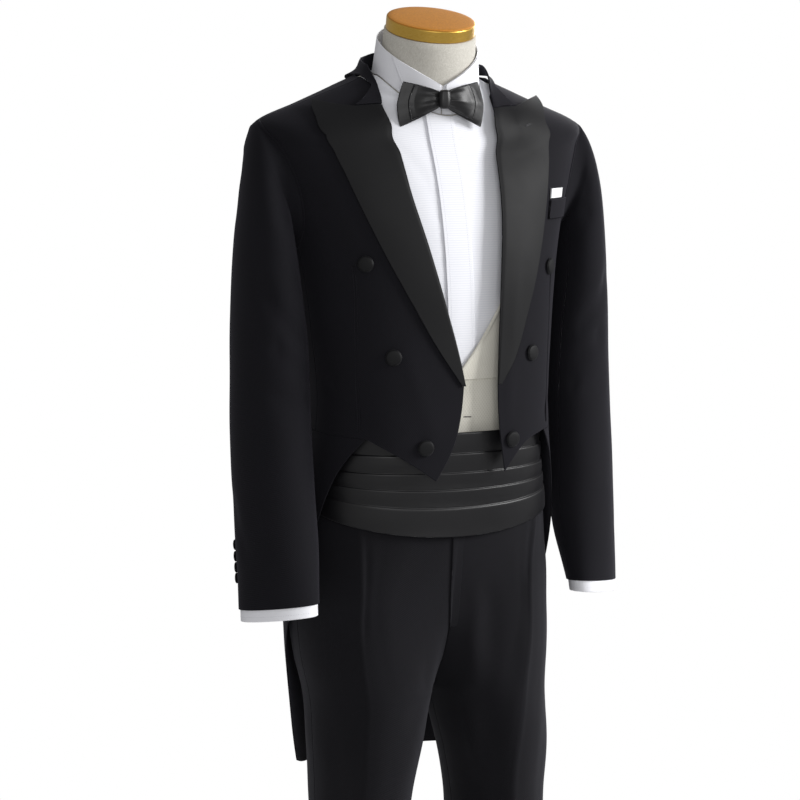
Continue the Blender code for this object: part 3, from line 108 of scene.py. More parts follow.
# The coat, one row for each level: half width, reach to the front and back, where it is widest,
# how square the girth is, and how far the level dips in front and rises behind.
COAT_ROWS = (
    (0.6, 0.163, 0.02, 0.12, 0.018, 0.03, 0, 0),
    (0.7, 0.17, 0.05, 0.131, 0.015, 0.03, 0, 0),
    (0.8, 0.178, 0.09, 0.142, 0.011, 0.04, 0, 0),
    (0.9, 0.1805, 0.125, 0.144, 0.004, 0.05, 0, 0),
    (0.96, 0.1765, 0.138, 0.134, -0.004, 0.06, 0, 0),
    (1.02, 0.168, 0.143, 0.114, -0.012, 0.07, 0, 0),
    (1.07, 0.161, 0.147, 0.1, -0.018, 0.07, 0, 0),
    (1.115, 0.1585, 0.148, 0.092, -0.021, 0.07, 0, 0),
    (1.2, 0.164, 0.147, 0.106, -0.016, 0.07, 0, 0),
    (1.28, 0.173, 0.145, 0.12, -0.01, 0.07, 0, 0),
    (1.34, 0.186, 0.138, 0.126, -0.006, 0.06, 0, 0),
    (1.4, 0.206, 0.124, 0.122, -0.002, 0.04, 0.006, 0),
    (1.44, 0.22, 0.111, 0.11, 0, 0.02, 0.014, 0.004),
    (1.468, 0.2235, 0.102, 0.094, 0, 0, 0.022, 0.008),
    (1.49, 0.173, 0.101, 0.082, -0.002, 0, 0.03, 0.012),
    (1.508, 0.128, 0.1, 0.075, -0.006, 0, 0.038, 0.014),
    (1.525, 0.088, 0.099, 0.071, -0.01, 0, 0.05, 0.016),
    (1.54, 0.079, 0.095, 0.066, -0.014, 0, 0.052, 0.02),
)

# The dress form's trunk, in the same columns.
FORM_ROWS = (
    (0.87, 0.138, 0.086, 0.092, 0, 0.02, 0, 0),
    (0.9, 0.15, 0.092, 0.099, 0, 0.03, 0, 0),
    (0.95, 0.151, 0.098, 0.092, -0.004, 0.05, 0, 0),
    (1, 0.146, 0.103, 0.081, -0.01, 0.06, 0, 0),
    (1.05, 0.14, 0.107, 0.073, -0.016, 0.07, 0, 0),
    (1.115, 0.136, 0.114, 0.068, -0.021, 0.07, 0, 0),
    (1.2, 0.141, 0.121, 0.083, -0.016, 0.07, 0, 0),
    (1.28, 0.15, 0.121, 0.1, -0.01, 0.07, 0, 0),
    (1.34, 0.163, 0.115, 0.107, -0.006, 0.06, 0, 0),
    (1.4, 0.18, 0.104, 0.101, -0.002, 0.04, 0.006, 0),
    (1.44, 0.193, 0.094, 0.087, 0, 0.02, 0.014, 0.004),
    (1.468, 0.19, 0.088, 0.071, 0, 0, 0.022, 0.008),
    (1.49, 0.145, 0.087, 0.061, -0.002, 0, 0.03, 0.012),
    (1.508, 0.1065, 0.086, 0.054, -0.008, 0, 0.038, 0.014),
    (1.525, 0.068, 0.0855, 0.0465, -0.018, 0, 0.05, 0.016),
)

# How far each layer's outside lies out from the form, by level.
TRUNK_EASE = (
    (0.87, 0), (1, 0), (1.2, -0.001), (1.33, -0.0025), (1.44, -0.0035), (1.468, -0.003),
    (1.49, -0.001), (1.508, 0), (1.525, 0),
)
SHIRT_EASE = (
    (0.96, 0.0054), (1.2, 0.0054), (1.3, 0.006), (1.38, 0.006), (1.44, 0.0052), (1.468, 0.0042),
    (1.49, 0.0028), (1.508, 0.002), (1.525, 0.002),
)
WAISTCOAT_EASE = (
    (1.14, 0.011), (1.38, 0.0115), (1.44, 0.011), (1.468, 0.009), (1.49, 0.006), (1.508, 0.004),
    (1.525, 0.004),
)
BAND_EASE = ((1.06, 0.0088), (1.11, 0.0086), (1.151, 0.0082))
WAISTCOAT_BACK_OUT = 0.002

# The trousers' seat and waist, and the cummerbund round them, in the columns of the coat.
HIPS_ROWS = (
    (0.86, 0.1735, 0.112, 0.121, 0, 0.03, 0, 0),
    (0.91, 0.1715, 0.115, 0.117, -0.001, 0.04, 0, 0),
    (0.95, 0.168, 0.118, 0.11, -0.004, 0.05, 0, 0),
    (1, 0.1585, 0.12, 0.098, -0.009, 0.06, 0, 0),
    (1.034, 0.1515, 0.121, 0.09, -0.013, 0.07, 0, 0),
    (1.08, 0.1465, 0.121, 0.0825, -0.018, 0.07, 0, 0),
)
HIPS_FROM, HIPS_FULL = 0.85, 0.965
SASH_ROWS = tuple(
    (level, half + 0.0024, front + 0.0075, back + 0.0024, middle, square, 0, 0)
    for level, half, front, back, middle, square, _, _ in HIPS_ROWS
)

# One trouser leg, wearer's left: the middle of the leg, its reach outwards, inwards, to the front
# and back, and where it is widest. Above the crotch the inward reach runs past the middle of the
# body, and the panel ends there at the centre seam.
LEG_COLUMNS = "level centre outer inner front back middle"
LEG_ROWS = (
    (0.028, 0.103, 0.0545, 0.0545, 0.094, 0.052, -0.021),
    (0.3, 0.101, 0.057, 0.057, 0.1, 0.055, -0.022),
    (0.48, 0.099, 0.06, 0.06, 0.108, 0.056, -0.026),
    (0.586, 0.0974, 0.0625, 0.0625, 0.112, 0.06, -0.026),
    (0.665, 0.0918, 0.071, 0.072, 0.122, 0.069, -0.026),
    (0.735, 0.085, 0.078, 0.084, 0.121, 0.096, -0.014),
    (0.775, 0.0845, 0.085, 0.105, 0.116, 0.112, -0.006),
    (0.81, 0.0862, 0.0865, 0.14, 0.112, 0.12, -0.002),
    (0.85, 0.0867, 0.0868, 0.205, 0.11, 0.121, 0),
    (0.9, 0.0862, 0.0863, 0.25, 0.113, 0.117, 0),
    (0.97, 0.0805, 0.0805, 0.28, 0.118, 0.104, -0.006),
    (1.03, 0.0745, 0.0745, 0.3, 0.117, 0.09, -0.012),
    (1.072, 0.0725, 0.0725, 0.3, 0.118, 0.082, -0.018),
)
TROUSER_LEVELS = (
    0.028, 0.18, 0.33, 0.47, 0.586, 0.65, 0.7, 0.736, 0.757, 0.8, 0.855, 0.905, 0.95, 0.995, 1.034
)
WAISTBAND_FROM, WAISTBAND_TOP, WAISTBAND_THICK = 1.034, 1.07, 0.0022
FORK_LEVEL = 0.74
CREASE_SPREAD = 22.5

# The pressed pleat of each leg: level, degrees outwards of the leg's front, and how far it stands.
RIGHT_CREASE = (
    (0.028, 22, 0.003), (0.5, 28, 0.004), (0.73, 30, 0.004), (0.86, 27, 0.004),
    (0.945, 22, 0.004), (1.034, 18, 0),
)
LEFT_CREASE = (
    (0.028, -6, 0.003), (0.5, -10, 0.004), (0.64, -10, 0.004), (0.73, 6, 0.004),
    (0.83, 15, 0.004), (0.945, 7, 0.004), (1.034, 4, 0),
)

# One sleeve, wearer's left, a row for each ring: its outer and inner ends, its middle from front to
# back, its half depth, how it turns its front inwards, and how it rises to the front.
SLEEVE_COLUMNS = "outer_x outer_z inner_x inner_z middle depth turn rise"
SLEEVE_ROWS = (
    (0.231, 1.463, 0.183, 1.306, -0.002, 0.047, 0, 0),
    (0.239, 1.446, 0.18, 1.296, -0.005, 0.05, 3, 0),
    (0.246, 1.417, 0.1785, 1.283, -0.008, 0.054, 6, 0),
    (0.2525, 1.372, 0.177, 1.264, -0.012, 0.057, 11, 0),
    (0.2585, 1.305, 0.175, 1.23, -0.016, 0.058, 17, 0),
    (0.2625, 1.22, 0.173, 1.18, -0.02, 0.057, 23, 0.02),
    (0.264, 1.13, 0.1735, 1.11, -0.024, 0.056, 28, 0.03),
    (0.264, 1.036, 0.176, 1.028, -0.034, 0.056, 34, 0.05),
    (0.261, 0.94, 0.179, 0.94, -0.048, 0.055, 40, 0.08),
    (0.2545, 0.86, 0.1935, 0.864, -0.064, 0.054, 45, 0.11),
)
TOP_SLEEVE_FRONT = 6
UNDER_SLEEVE_BACK = 13

# The armhole on the coat, from the side seam up the front to the shoulder, down the back to the
# side-back seam, and along under the arm: level and angle.
ARMHOLE_FRONT = (
    (1.312, 84), (1.338, 71.5), (1.374, 67), (1.413, 66.8), (1.446, 69.5), (1.462, 77), (1.468, 88)
)
ARMHOLE_BACK = (
    (1.468, 88), (1.463, 98), (1.449, 106), (1.42, 111.5), (1.385, 113), (1.345, 110.5)
)
ARMHOLE_UNDER = ((1.345, 110.5), (1.322, 103), (1.31, 93), (1.312, 84))
SHOULDER_SEAM = ((1.468, 88), (1.49, 88), (NECK_LEVEL, 88))

SIDE_SEAM = ((COAT_WAIST, 84), (1.2, 84), (1.312, 84))
SIDE_BACK_SEAM = ((COAT_WAIST, 154), (1.18, 147), (1.26, 134), (1.31, 121), (1.345, 110.5))
TAIL_SEAM = ((TAIL_END, 146), (0.8, 148), (0.95, 151), (COAT_WAIST, 154))
WAIST_FRONT = ((1.074, 47), (1.0765, 65), (COAT_WAIST, 84))
WAIST_SIDE = ((COAT_WAIST, 84), (COAT_WAIST, 120), (COAT_WAIST, 154))
TAIL_HEM = ((0.6225, 118.5), (0.617, 126), (TAIL_END, 146))
SKIRT_EDGE = (
    (0.6225, 118.5), (0.633, 114.6), (0.665, 112), (0.72, 108.6), (0.79, 101), (0.86, 85),
    (0.92, 73),
    (0.968, 67.5), (1.012, 64), (1.047, 57.5), (1.066, 51.5), (1.074, 47),
)
NECK_EDGE_BACK = ((NECK_LEVEL, 88), (NECK_LEVEL, 134), (NECK_LEVEL, 180))

# Edges of the two fronts, which hang open: the wearer's right one swings closer to the middle. crest
# is the lapel's edge up to the peak's tip, gorge the seam of lapel and collar and on to that tip, peak
# how far the tip stands off, and fold and leaf are the front ends of the collar's two edges.
RIGHT_EDGE = {
    "tip": ((1.019, 14), (1.039, 9.2), (1.061, 6.4), (1.083, 4.2), (1.111, 2.6), (1.139, 2.2)),
    "roll": (
        (1.139, 2.2), (1.184, 5.6), (1.244, 11.2), (1.303, 15.9), (1.34, 18.4), (1.375, 19.9),
        (1.407, 20.1), (1.437, 19.8), (1.466, 20), (1.482, 23.2), (1.497, 31), (1.515, 49),
        (1.524, 62.8),
    ),
    "foot": ((1.019, 14), (1.041, 24.8), (1.061, 37.2), (1.074, 47)),
    "lapel": (
        (1.139, 3.4), (1.152, 6.4), (1.172, 12), (1.199, 17.6), (1.246, 25.6), (1.296, 33.2),
        (1.348, 38.8), (1.3935, 41.3), (1.4391, 43.3), (1.4634, 45.2),
    ),
    "crest": ((1.4634, 45.2), (1.4767, 53.3), (1.4878, 67.6), (1.4948, 79)),
    "gorge": ((1.512, 46), (1.501, 54), (1.498, 61.6), (1.4948, 79)),
    "peak": 0.002,
    "fold": ((1.515, 49), (1.524, 62.8)),
    "leaf": ((1.507, 55.6), (1.517, 63.6), (1.5225, 68)),
    "buttons": ((1.293, 42.4), (1.177, 34), (1.063, 20)),
}
LEFT_EDGE = {
    "tip": ((1.026, 18.8), (1.034, 18.4), (1.055, 17.2), (1.08, 16), (1.113, 15), (1.139, 15)),
    "roll": (
        (1.139, 15), (1.184, 15.2), (1.244, 15.5), (1.303, 16), (1.34, 16.2), (1.375, 15.8),
        (1.416, 15.1), (1.456, 15), (1.486, 18.6), (1.502, 24.6), (1.515, 36), (1.525, 52),
    ),
    "foot": ((1.026, 18.8), (1.043, 23.4), (1.063, 30), (1.074, 47)),
    "lapel": (
        (1.139, 16.2), (1.156, 21.6), (1.18, 25), (1.211, 28.4), (1.267, 33.6), (1.328, 37.6),
        (1.3698, 38.3), (1.4323, 38.6), (1.4557, 38.9),
    ),
    "crest": (
        (1.4557, 38.9), (1.464, 39.3), (1.472, 40.6), (1.48, 44.8), (1.4889, 57.3), (1.4977, 74.4)
    ),
    "gorge": ((1.515, 36), (1.504, 48.8), (1.5025, 60.2), (1.4977, 74.4)),
    "peak": 0.008,
    "fold": ((1.525, 52), (1.533, 62)),
    "leaf": ((1.511, 52), (1.516, 58), (1.5225, 65.6)),
    "buttons": ((1.284, 45.2), (1.176, 34.4), (1.068, 22.8)),
}
LAPEL_ROLLS_PAST = 0.4
COLLAR_FROM_LAPEL = (0.0003, 0.2)

# The collar's leaf: its fold round the neck and its outer edge, from the gorge to the middle behind.
COLLAR_FOLD_BACK = ((1.54, 84), (1.54, 135), (1.54, 180))
COLLAR_EDGE_BACK = ((1.5245, 86), (1.522, 112), (1.51, 142), (1.495, 180))
COLLAR_EDGE_OUT = 0.0012

# Shirt collar: half width and half depth of its top, and the top's height by the angle from the front.
COLLAR_TOP_HALF = 0.0645
COLLAR_TOP_DEPTH = 0.0665
COLLAR_TOP_MIDDLE = -0.0245
COLLAR_TOP_LEVELS = (
    (0, 1.5125), (30, 1.532), (60, 1.551), (90, 1.569), (135, 1.587), (180, 1.595)
)
SHIRT_TURN = -8
WING_FROM = 3
WING_TO = 60

# Waistcoat: the opening's edge on the wearer's left, by level and distance from the middle.
OPENING = (
    (1.157, -0.003), (1.178, 0.0129), (1.2, 0.028), (1.222, 0.0405), (1.244, 0.0526), (1.3, 0.078),
    (1.37, 0.098), (1.44, 0.112), (1.49, 0.12),
)
WAISTCOAT_MIDDLE = -0.004
WAISTCOAT_BAND_FOOT, WAISTCOAT_BAND_TOP = 1.074, 1.151
WAISTCOAT_ARM_FRONT = (
    (1.285, 88), (1.305, 76), (1.35, 62.5), (1.41, 60), (1.45, 63), (1.473, 75), (1.484, 88)
)
WAISTCOAT_ARM_BACK = (
    (1.285, 88), (1.31, 104), (1.35, 117), (1.4, 119), (1.442, 114), (1.47, 102),
    (1.484, 88),
)

# Cummerbund: fold lines at the middle of the front, how much higher its foot is at the sides, and
# how far round it reaches.
SASH_FOLDS = (1.0785, 1.052, 1.0275, 1.0055, 0.9825, 0.9435)
SASH_STRAP = (1.062, 1.012)
SASH_LIP = 0.0007

CAP_CROWN = 0.0015


class Table:
    """Rows of named columns, read smoothly at any place between its first and last row."""

    def __init__(self, columns: str, rows: Rows) -> None:
        """Keeps the columns' names, given with spaces between them, and the rows, the place first."""
        self.names = columns.split()
        self.values = np.array(rows, float)

    def at(self, place: Array, *names: str) -> list[Array]:
        """Reads columns at places of the first one, an array for each name."""
        steps = self.values[:, 0]
        return [blend(steps, self.values[:, self.names.index(name)], place) for name in names]


def blend(steps: Array, values: Array, place: Array) -> Array:
    """Reads a smooth curve.

    Args:
        steps: where the curve's values are, rising.
        values: the values there.
        place: where to read it.

    Returns:
        Its value at each place.
    """
    steps, values = np.asarray(steps, float), np.asarray(values, float)
    place = np.clip(place, steps[0], steps[-1])
    spans = np.diff(steps)
    slopes = np.diff(values) / spans
    bends = np.empty_like(values)
    bends[0], bends[-1] = slopes[0], slopes[-1]
    bends[1:-1] = (slopes[:-1] * spans[1:] + slopes[1:] * spans[:-1]) / (spans[1:] + spans[:-1])
    row = np.clip(np.searchsorted(steps, place, side="right") - 1, 0, len(steps) - 2)
    t = (place - steps[row]) / spans[row]
    start, end, rise = t**3 - 2 * t**2 + t, t**3 - t**2, 3 * t**2 - 2 * t**3
    return (
        (1 - rise) * values[row]
        + rise * values[row + 1]
        + (start * bends[row] + end * bends[row + 1]) * spans[row]
    )


class Surface:
    """A surface that gives a point for each level and angle in degrees."""

    STEP = 1e-4

    def __init__(self, point: Callable[[Array, Array], Array]) -> None:
        """Keeps the function that gives the points."""
        self.point = point

    def normal(self, level: Array, angle: Array) -> Array:
        """Finds the way out of the surface from its slopes.

        Args:
            level: levels.
            angle: angles in degrees.

        Returns:
            Unit vectors.
        """
        turn = math.degrees(self.STEP)
        around = self.point(level, angle + turn) - self.point(level, angle - turn)
        up = self.point(level + self.STEP, angle) - self.point(level - self.STEP, angle)
        across = np.cross(around, up)
        return across / np.linalg.norm(across, axis=-1, keepdims=True)

    def strip(self, line: Array, out: Array | float) -> tuple[Array, Array]:
        """The points of a line that stands out of the surface, and the way out at each."""
        return self.grid(line, out), self.normal(line[:, 0], line[:, 1])

    def grid(self, places: Array, out: Array | float = 0.0) -> Array:
        """The points of a grid of levels and angles, which stand out of the surface by a distance."""
        level, angle = places[..., 0], places[..., 1]
        return self.point(level, angle) + self.normal(level, angle) * np.asarray(out)[..., None]


def over(surface: Surface, ease: Rows) -> Surface:
    """Lays a surface over another.

    Args:
        surface: the one below.
        ease: rows of level and distance.

    Returns:
        The surface above.
    """
    levels, eases = np.array(ease, float).T

    def point(level: Array, angle: Array) -> Array:
        """The point at a level and angle."""
        out = blend(levels, eases, level)
        return surface.point(level, angle) + surface.normal(level, angle) * np.asarray(out)[..., None]

    return Surface(point)


def torso(rows: Rows) -> Surface:
    """Makes the ring surface of a trunk.

    Args:
        rows: girths, in the columns of TORSO_COLUMNS.

    Returns:
        The surface.
    """
    table = Table(TORSO_COLUMNS, rows)

    def point(level: Array, angle: Array) -> Array:
        """Works out a point.

        Args:
            level: its level.
            angle: its angle in degrees.

        Returns:
            The point.
        """
        half, front, back, middle, square, dip, rise = table.at(
            level, "half", "front", "back", "middle", "square", "dip", "rise"
        )
        turn = np.radians(angle)
        sine, cosine = np.sin(turn), np.cos(turn)
        fuller = 1 + square * np.sin(2 * turn) ** 2
        depth = np.where(cosine > 0, front + middle, back - middle)
        ahead, behind = np.maximum(0, cosine), np.maximum(0, -cosine)
        parts = (
            half * sine * fuller,
            middle - depth * cosine * fuller,
            level - dip * ahead**1.5 + rise * behind**1.5,
        )
        return np.stack(np.broadcast_arrays(*parts), -1)

    return Surface(point)


def fine(count: int, times: int) -> int:
    """The count of places when each gap between them is split into times."""
    return (count - 1) * times + 1


def path(points: Any, count: int, times: int = 1) -> Array:
    """Spaces places evenly along a smooth line.

    Args:
        points: rows of level and angle.
        count: how many places the solid's edge has.
        times: how many gaps each of its gaps is split into, its corners eased.

    Returns:
        Rows of level and angle.
    """
    points = np.array(points, float)
    if times > 1:
        whole = path(points, count)
        at = np.linspace(0, count - 1, fine(count, times))
        line = np.stack([np.interp(at, np.arange(count), whole[:, i]) for i in (0, 1)], -1)
        for _ in range(times * times // 2):
            line[1:-1] = (line[:-2] + 2 * line[1:-1] + line[2:]) / 4
        return line
    lengths = np.hypot(np.diff(points[:, 0]), np.radians(np.diff(points[:, 1])) * 0.15)
    steps = np.concatenate([[0], np.cumsum(lengths)])
    at = np.linspace(0, steps[-1], count)
    if len(points) == 2:
        return np.stack([np.interp(at, steps, points[:, i]) for i in (0, 1)], -1)
    return np.stack([blend(steps, points[:, i], at) for i in (0, 1)], -1)


def joined(*paths: Array) -> Array:
    """Paths end to end, each shared place once."""
    return np.concatenate([paths[0]] + [p[1:] for p in paths[1:]])


def patch(left: Array, right: Array, bottom: Array | int, top: Array | int) -> Array:
    """Fills a grid of places between four edges.

    Args:
        left: the edge that runs up on one side.
        right: the edge that runs up on the other.
        bottom: the edge that runs across below, or its count of places where it is straight.
        top: the one above, in the same way.

    Returns:
        The grid, rows running up.
    """
    bottom, top = (
        path((left[end], right[end]), edge) if isinstance(edge, int) else edge
        for edge, end in ((bottom, 0), (top, -1))
    )
    u = np.linspace(0, 1, len(bottom))[None, :, None]
    v = np.linspace(0, 1, len(left))[:, None, None]
    across = (1 - u) * left[:, None] + u * right[:, None]
    along = (1 - v) * bottom[None] + v * top[None]
    low, high = (1 - u) * bottom[0] + u * bottom[-1], (1 - u) * top[0] + u * top[-1]
    return across + along - (1 - v) * low - v * high


def sided(places: Any, side: float) -> Array:
    """Places of the wearer's left, or mirrored to the right where side is -1."""
    return np.asarray(places, float) * np.array([1.0, side])


def behind(places: Array) -> Array:
    """The same line on the wearer's right, by the angles that run on round the back."""
    return sided(places, -1.0) + np.array([0.0, 360.0])


def unit(vectors: Array) -> Array:
    """The vectors at length one."""
    return vectors / np.maximum(np.linalg.norm(vectors, axis=-1, keepdims=True), 1e-12)


def pulled(grid: Array, axis: int, by: float) -> Array:
    """Moves the first and last lines of a grid inwards.

    Args:
        grid: points.
        axis: 0 for its rows, 1 for its columns.
        by: how far.

    Returns:
        The changed grid.
    """
    lines = np.moveaxis(grid.copy(), axis, 0)
    lines[0] += unit(lines[1] - lines[0]) * by
    lines[-1] += unit(lines[-2] - lines[-1]) * by
    return np.moveaxis(lines, 0, axis)


def margined(grid: Array, axis: int, step: float) -> Array:
    """Adds a line close inside the first and the last line of a grid, to keep its edge crisp.

    Args:
        grid: points.
        axis: 0 for its rows, 1 for its columns.
        step: how far inside.

    Returns:
        The grid with two more lines.
    """
    lines = np.moveaxis(grid, axis, 0)

    def inside(edge: Array, beside: Array) -> Array:
        """The line a step in from an edge."""
        span = np.linalg.norm(beside - edge, axis=-1, keepdims=True)
        return (edge + (beside - edge) * np.minimum(0.4, step / np.maximum(span, 1e-9)))[None]

    lines = np.concatenate(
        [lines[:1], inside(lines[0], lines[1]), lines[1:-1], inside(lines[-1], lines[-2]), lines[-1:]]
    )
    return np.moveaxis(lines, 0, axis)


def lengths_along(grid: Array, axis: int) -> Array:
    """Measures along the lines of a grid.

    Args:
        grid: points.
        axis: 0 for its columns' lines, 1 for its rows'.

    Returns:
        How far each point is along its line, in metres.
    """
    steps = np.linalg.norm(np.diff(grid, axis=axis), axis=-1)
    start = np.zeros_like(np.take(steps, [0], axis=axis))
    return np.concatenate([start, np.cumsum(steps, axis=axis)], axis=axis)


@dataclass
class Sewn:
    """A cut piece of cloth as an object, with the size it was cut to."""

    obj: Piece
    width: float
    length: float
    area: float


def quads(rows: int, columns: int) -> tuple[Array, Array]:
    """The row and the column of each corner of a grid's faces."""
    r, k = (x.ravel() for x in np.meshgrid(np.arange(rows), np.arange(columns), indexing="ij"))
    return np.stack([r, r, r + 1, r + 1], -1), np.stack([k, k + 1, k + 1, k], -1)


def meshed(name: str, points: Array, faces: Array, corners: Array) -> Piece:
    """Makes an object with smooth faces that look outwards.

    Args:
        name: its name.
        points: its points.
        faces: their numbers, a row for each face.
        corners: the flat place of each face's corners, in metres.

    Returns:
        The object, linked to the scene.
    """
    three = np.concatenate([faces[:, [0, 1, 2]], faces[:, [0, 2, 3]]]) if faces.shape[1] == 4 else faces
    a, b, c = (points[three[:, i]] for i in range(3))
    if (a * np.cross(b, c)).sum() < 0:
        faces, corners = faces[:, ::-1], corners[:, ::-1]
    mesh = bpy.data.meshes.new(name)
    mesh.from_pydata(points.tolist(), [], faces.tolist())
    layer = mesh.uv_layers.new(name="cut")
    layer.data.foreach_set("uv", np.ascontiguousarray(corners, np.float32).ravel())
    mesh.shade_smooth()
    obj = bpy.data.objects.new(name, mesh)
    bpy.context.scene.collection.objects.link(obj)
    return obj


def sewn(name: str, outer: Array, inner: Array, around: bool = False, edge: float = 0.0014) -> Sewn:
    """Makes a piece of cloth between two grids of points, with a rounded edge.

    Args:
        name: its name.
        outer: the outside's grid.
        inner: the inside's grid.
        around: whether each row closes to a ring.
        edge: how far in from the edge the cloth is already flat.

    Returns:
        The piece and its cut.
    """
    middle = (outer + inner) / 2
    closed = np.concatenate([middle, middle[:, :1]], axis=1) if around else middle
    a, b, c, d = closed[:-1, :-1], closed[:-1, 1:], closed[1:, 1:], closed[1:, :-1]
    area = sum(np.linalg.norm(np.cross(q - a, r - a), axis=-1).sum() / 2 for q, r in ((b, c), (c, d)))
    width, length = lengths_along(closed, 1)[:, -1].max(), lengths_along(closed, 0)[-1].max()
    # Both faces stop short of the middle's edge by a third of the thickness, which rounds it.
    soft = 0.35 * float(np.linalg.norm(outer - inner, axis=-1).mean())
    skins = []
    for grid in (outer, inner):
        grid = margined(grid, 0, edge)
        grid = pulled(grid, 0, soft)
        if not around:
            grid = pulled(margined(grid, 1, edge), 1, soft)
        skins.append(grid)
    middle = margined(middle, 0, edge)
    middle = middle if around else margined(middle, 1, edge)
    rows, columns = middle.shape[:2]
    steps = columns if around else columns - 1
    closed = np.concatenate([middle, middle[:, :1]], axis=1) if around else middle
    flat = np.stack([lengths_along(closed, 1), lengths_along(closed, 0)], -1)
    flat[..., 0] -= flat[:, closed.shape[1] // 2, 0][:, None]
    quad_r, quad_c = quads(rows - 1, steps)
    loops = [(np.zeros(steps + 1, int), np.arange(steps + 1))]
    top = (np.full(steps + 1, rows - 1), np.arange(steps + 1)[::-1])
    if around:
        loops.append(top)
    else:
        up = np.arange(rows)
        sides = [(up, np.full(rows, columns - 1)), top, (up[::-1], np.zeros(rows, int))]
        loops = [tuple(np.concatenate([loops[0][i]] + [s[i][1:] for s in sides]) for i in (0, 1))]
    size = rows * columns
    numbers = quad_r * columns + quad_c % columns
    faces, corners = [numbers, numbers[:, ::-1] + size], [flat[quad_r, quad_c]]
    corners.append(corners[0][:, ::-1])
    rims, start = [], 2 * size
    for loop_r, loop_c in loops:
        at = loop_r * columns + loop_c % columns
        rim = start + np.arange(len(at) - 1)
        rim = np.concatenate([rim, rim[:1]])
        rims.append(middle[loop_r[:-1], loop_c[:-1] % columns])
        start += len(at) - 1
        place = flat[loop_r, loop_c]
        both = np.stack([place[1:], place[:-1], place[:-1], place[1:]], 1)
        faces += [
            np.stack([at[1:], at[:-1], rim[:-1], rim[1:]], -1),
            np.stack([rim[1:], rim[:-1], at[:-1] + size, at[1:] + size], -1),
        ]
        corners += [both, both]
    points = np.concatenate([skins[0].reshape(-1, 3), skins[1].reshape(-1, 3), *rims])
    obj = meshed(name, points, np.concatenate(faces), np.concatenate(corners))
    return Sewn(obj, float(width), float(length), float(area))


def turned(name: str, rings: Array) -> Piece:
    """Makes a closed body through rings of points, its two ends drawn in to a point.

    Args:
        name: its name.
        rings: a grid of points, each row a ring.

    Returns:
        The object.
    """
    ends = [np.broadcast_to(ring.mean(axis=0), ring.shape)[None] for ring in (rings[0], rings[-1])]
    rings = np.concatenate([ends[0], rings, ends[1]])
    rows, columns = rings.shape[:2]
    closed = np.concatenate([rings, rings[:, :1]], axis=1)
    flat = np.stack([lengths_along(closed, 1), lengths_along(closed, 0)], -1)
    quad_r, quad_c = quads(rows - 1, columns)
    faces = quad_r * columns + quad_c % columns
    return meshed(name, rings.reshape(-1, 3), faces, flat[quad_r, quad_c])


@dataclass(frozen=True)
class Fold:
    """A soft trough or ridge worn or pressed into cloth.

    places are its line, depth how far it stands out, below zero where it goes in, width half its
    width, and fades says whether it dies away towards its ends.
    """

    places: Places
    depth: float
    width: float
    fades: bool = True

    def lift(self, points: Array, surface: Surface, side: float = 1.0) -> Array:
        """Works out how far each point stands off for this fold.

        Args:
            points: the cloth's points.
            surface: what the fold's places lie on.
            side: -1 where the fold is mirrored to the wearer's right.

        Returns:
            A distance for each point.
        """
        places = sided(path(self.places, 48), side)
        line = surface.point(places[:, 0], places[:, 1])
        flat = points.reshape(-1, 3)
        off = np.linalg.norm(flat[:, None] - line[None], axis=-1)
        near = off.argmin(axis=1)
        share = near / (len(line) - 1)
        best = off[np.arange(len(flat)), near]
        for step in (-1, 1):
            a, b = line[near], line[np.clip(near + step, 0, len(line) - 1)]
            way = b - a
            t = np.clip(((flat - a) * way).sum(1) / np.maximum((way**2).sum(1), 1e-12), 0, 1)
            best = np.minimum(best, np.linalg.norm(flat - a - way * t[:, None], axis=1))
        fade = np.clip(np.minimum(share, 1 - share) * 4, 0, 1) if self.fades else np.ones_like(share)
        # Two slow waves along it keep a worn fold from looking ruled; its width sets where they start.
        uneven = 1 + 0.22 * np.sin(7.0 * share + 40.0 * self.width) + 0.13 * np.sin(17.0 * share + 1.0)
        bump = np.exp(-((best / self.width) ** 2)) * fade * fade * (3 - 2 * fade)
        return (self.depth * bump * uneven).reshape(points.shape[:-1])


def rumple(points: Array, height: float, size: float) -> Array:
    """Works out the slight unevenness of hanging cloth.

    Args:
        points: the cloth's points.
        height: about how far it stands off.
        size: about how wide its swells are.

    Returns:
        A distance for each point.
    """
    p = points / size
    swell = (
        np.sin(p @ np.array([2.1, 1.3, 0.9]) + 0.4)
        + np.sin(p @ np.array([-1.2, 2.6, 1.5]) + 2.1)
        + 0.7 * np.sin(p @ np.array([3.4, -2.2, 2.3]) + 4.0)
        + 0.5 * np.sin(p @ np.array([-3.8, -1.4, -3.1]) + 5.2)
    )
    return height * swell / 3.2


def lifted(
    surface: Surface, places: Array, out: Array | float, folds: Iterable[Fold], rough: float = 0.0004
) -> Array:
    """Works out the outside of a folded piece of cloth.

    Args:
        surface: what it lies on.
        places: its grid.
        out: how far out its face stands.
        folds: its folds.
        rough: how uneven it hangs.

    Returns:
        A distance out of the surface for each place.
    """
    points = surface.grid(places, 0.0 * places[..., 0])
    total = np.zeros(places.shape[:2]) + out + rumple(points, rough, 0.045)
    for fold in folds:
        total = total + fold.lift(points, surface)
    return total


def bead(side: Rows, top: float, root: float) -> Rows:
    """The profile of a narrow raised line: one of its two like sides, its top and its root."""
    return (*((-across, out) for across, out in side), (0.0, top), *side[::-1], (0.0, root))


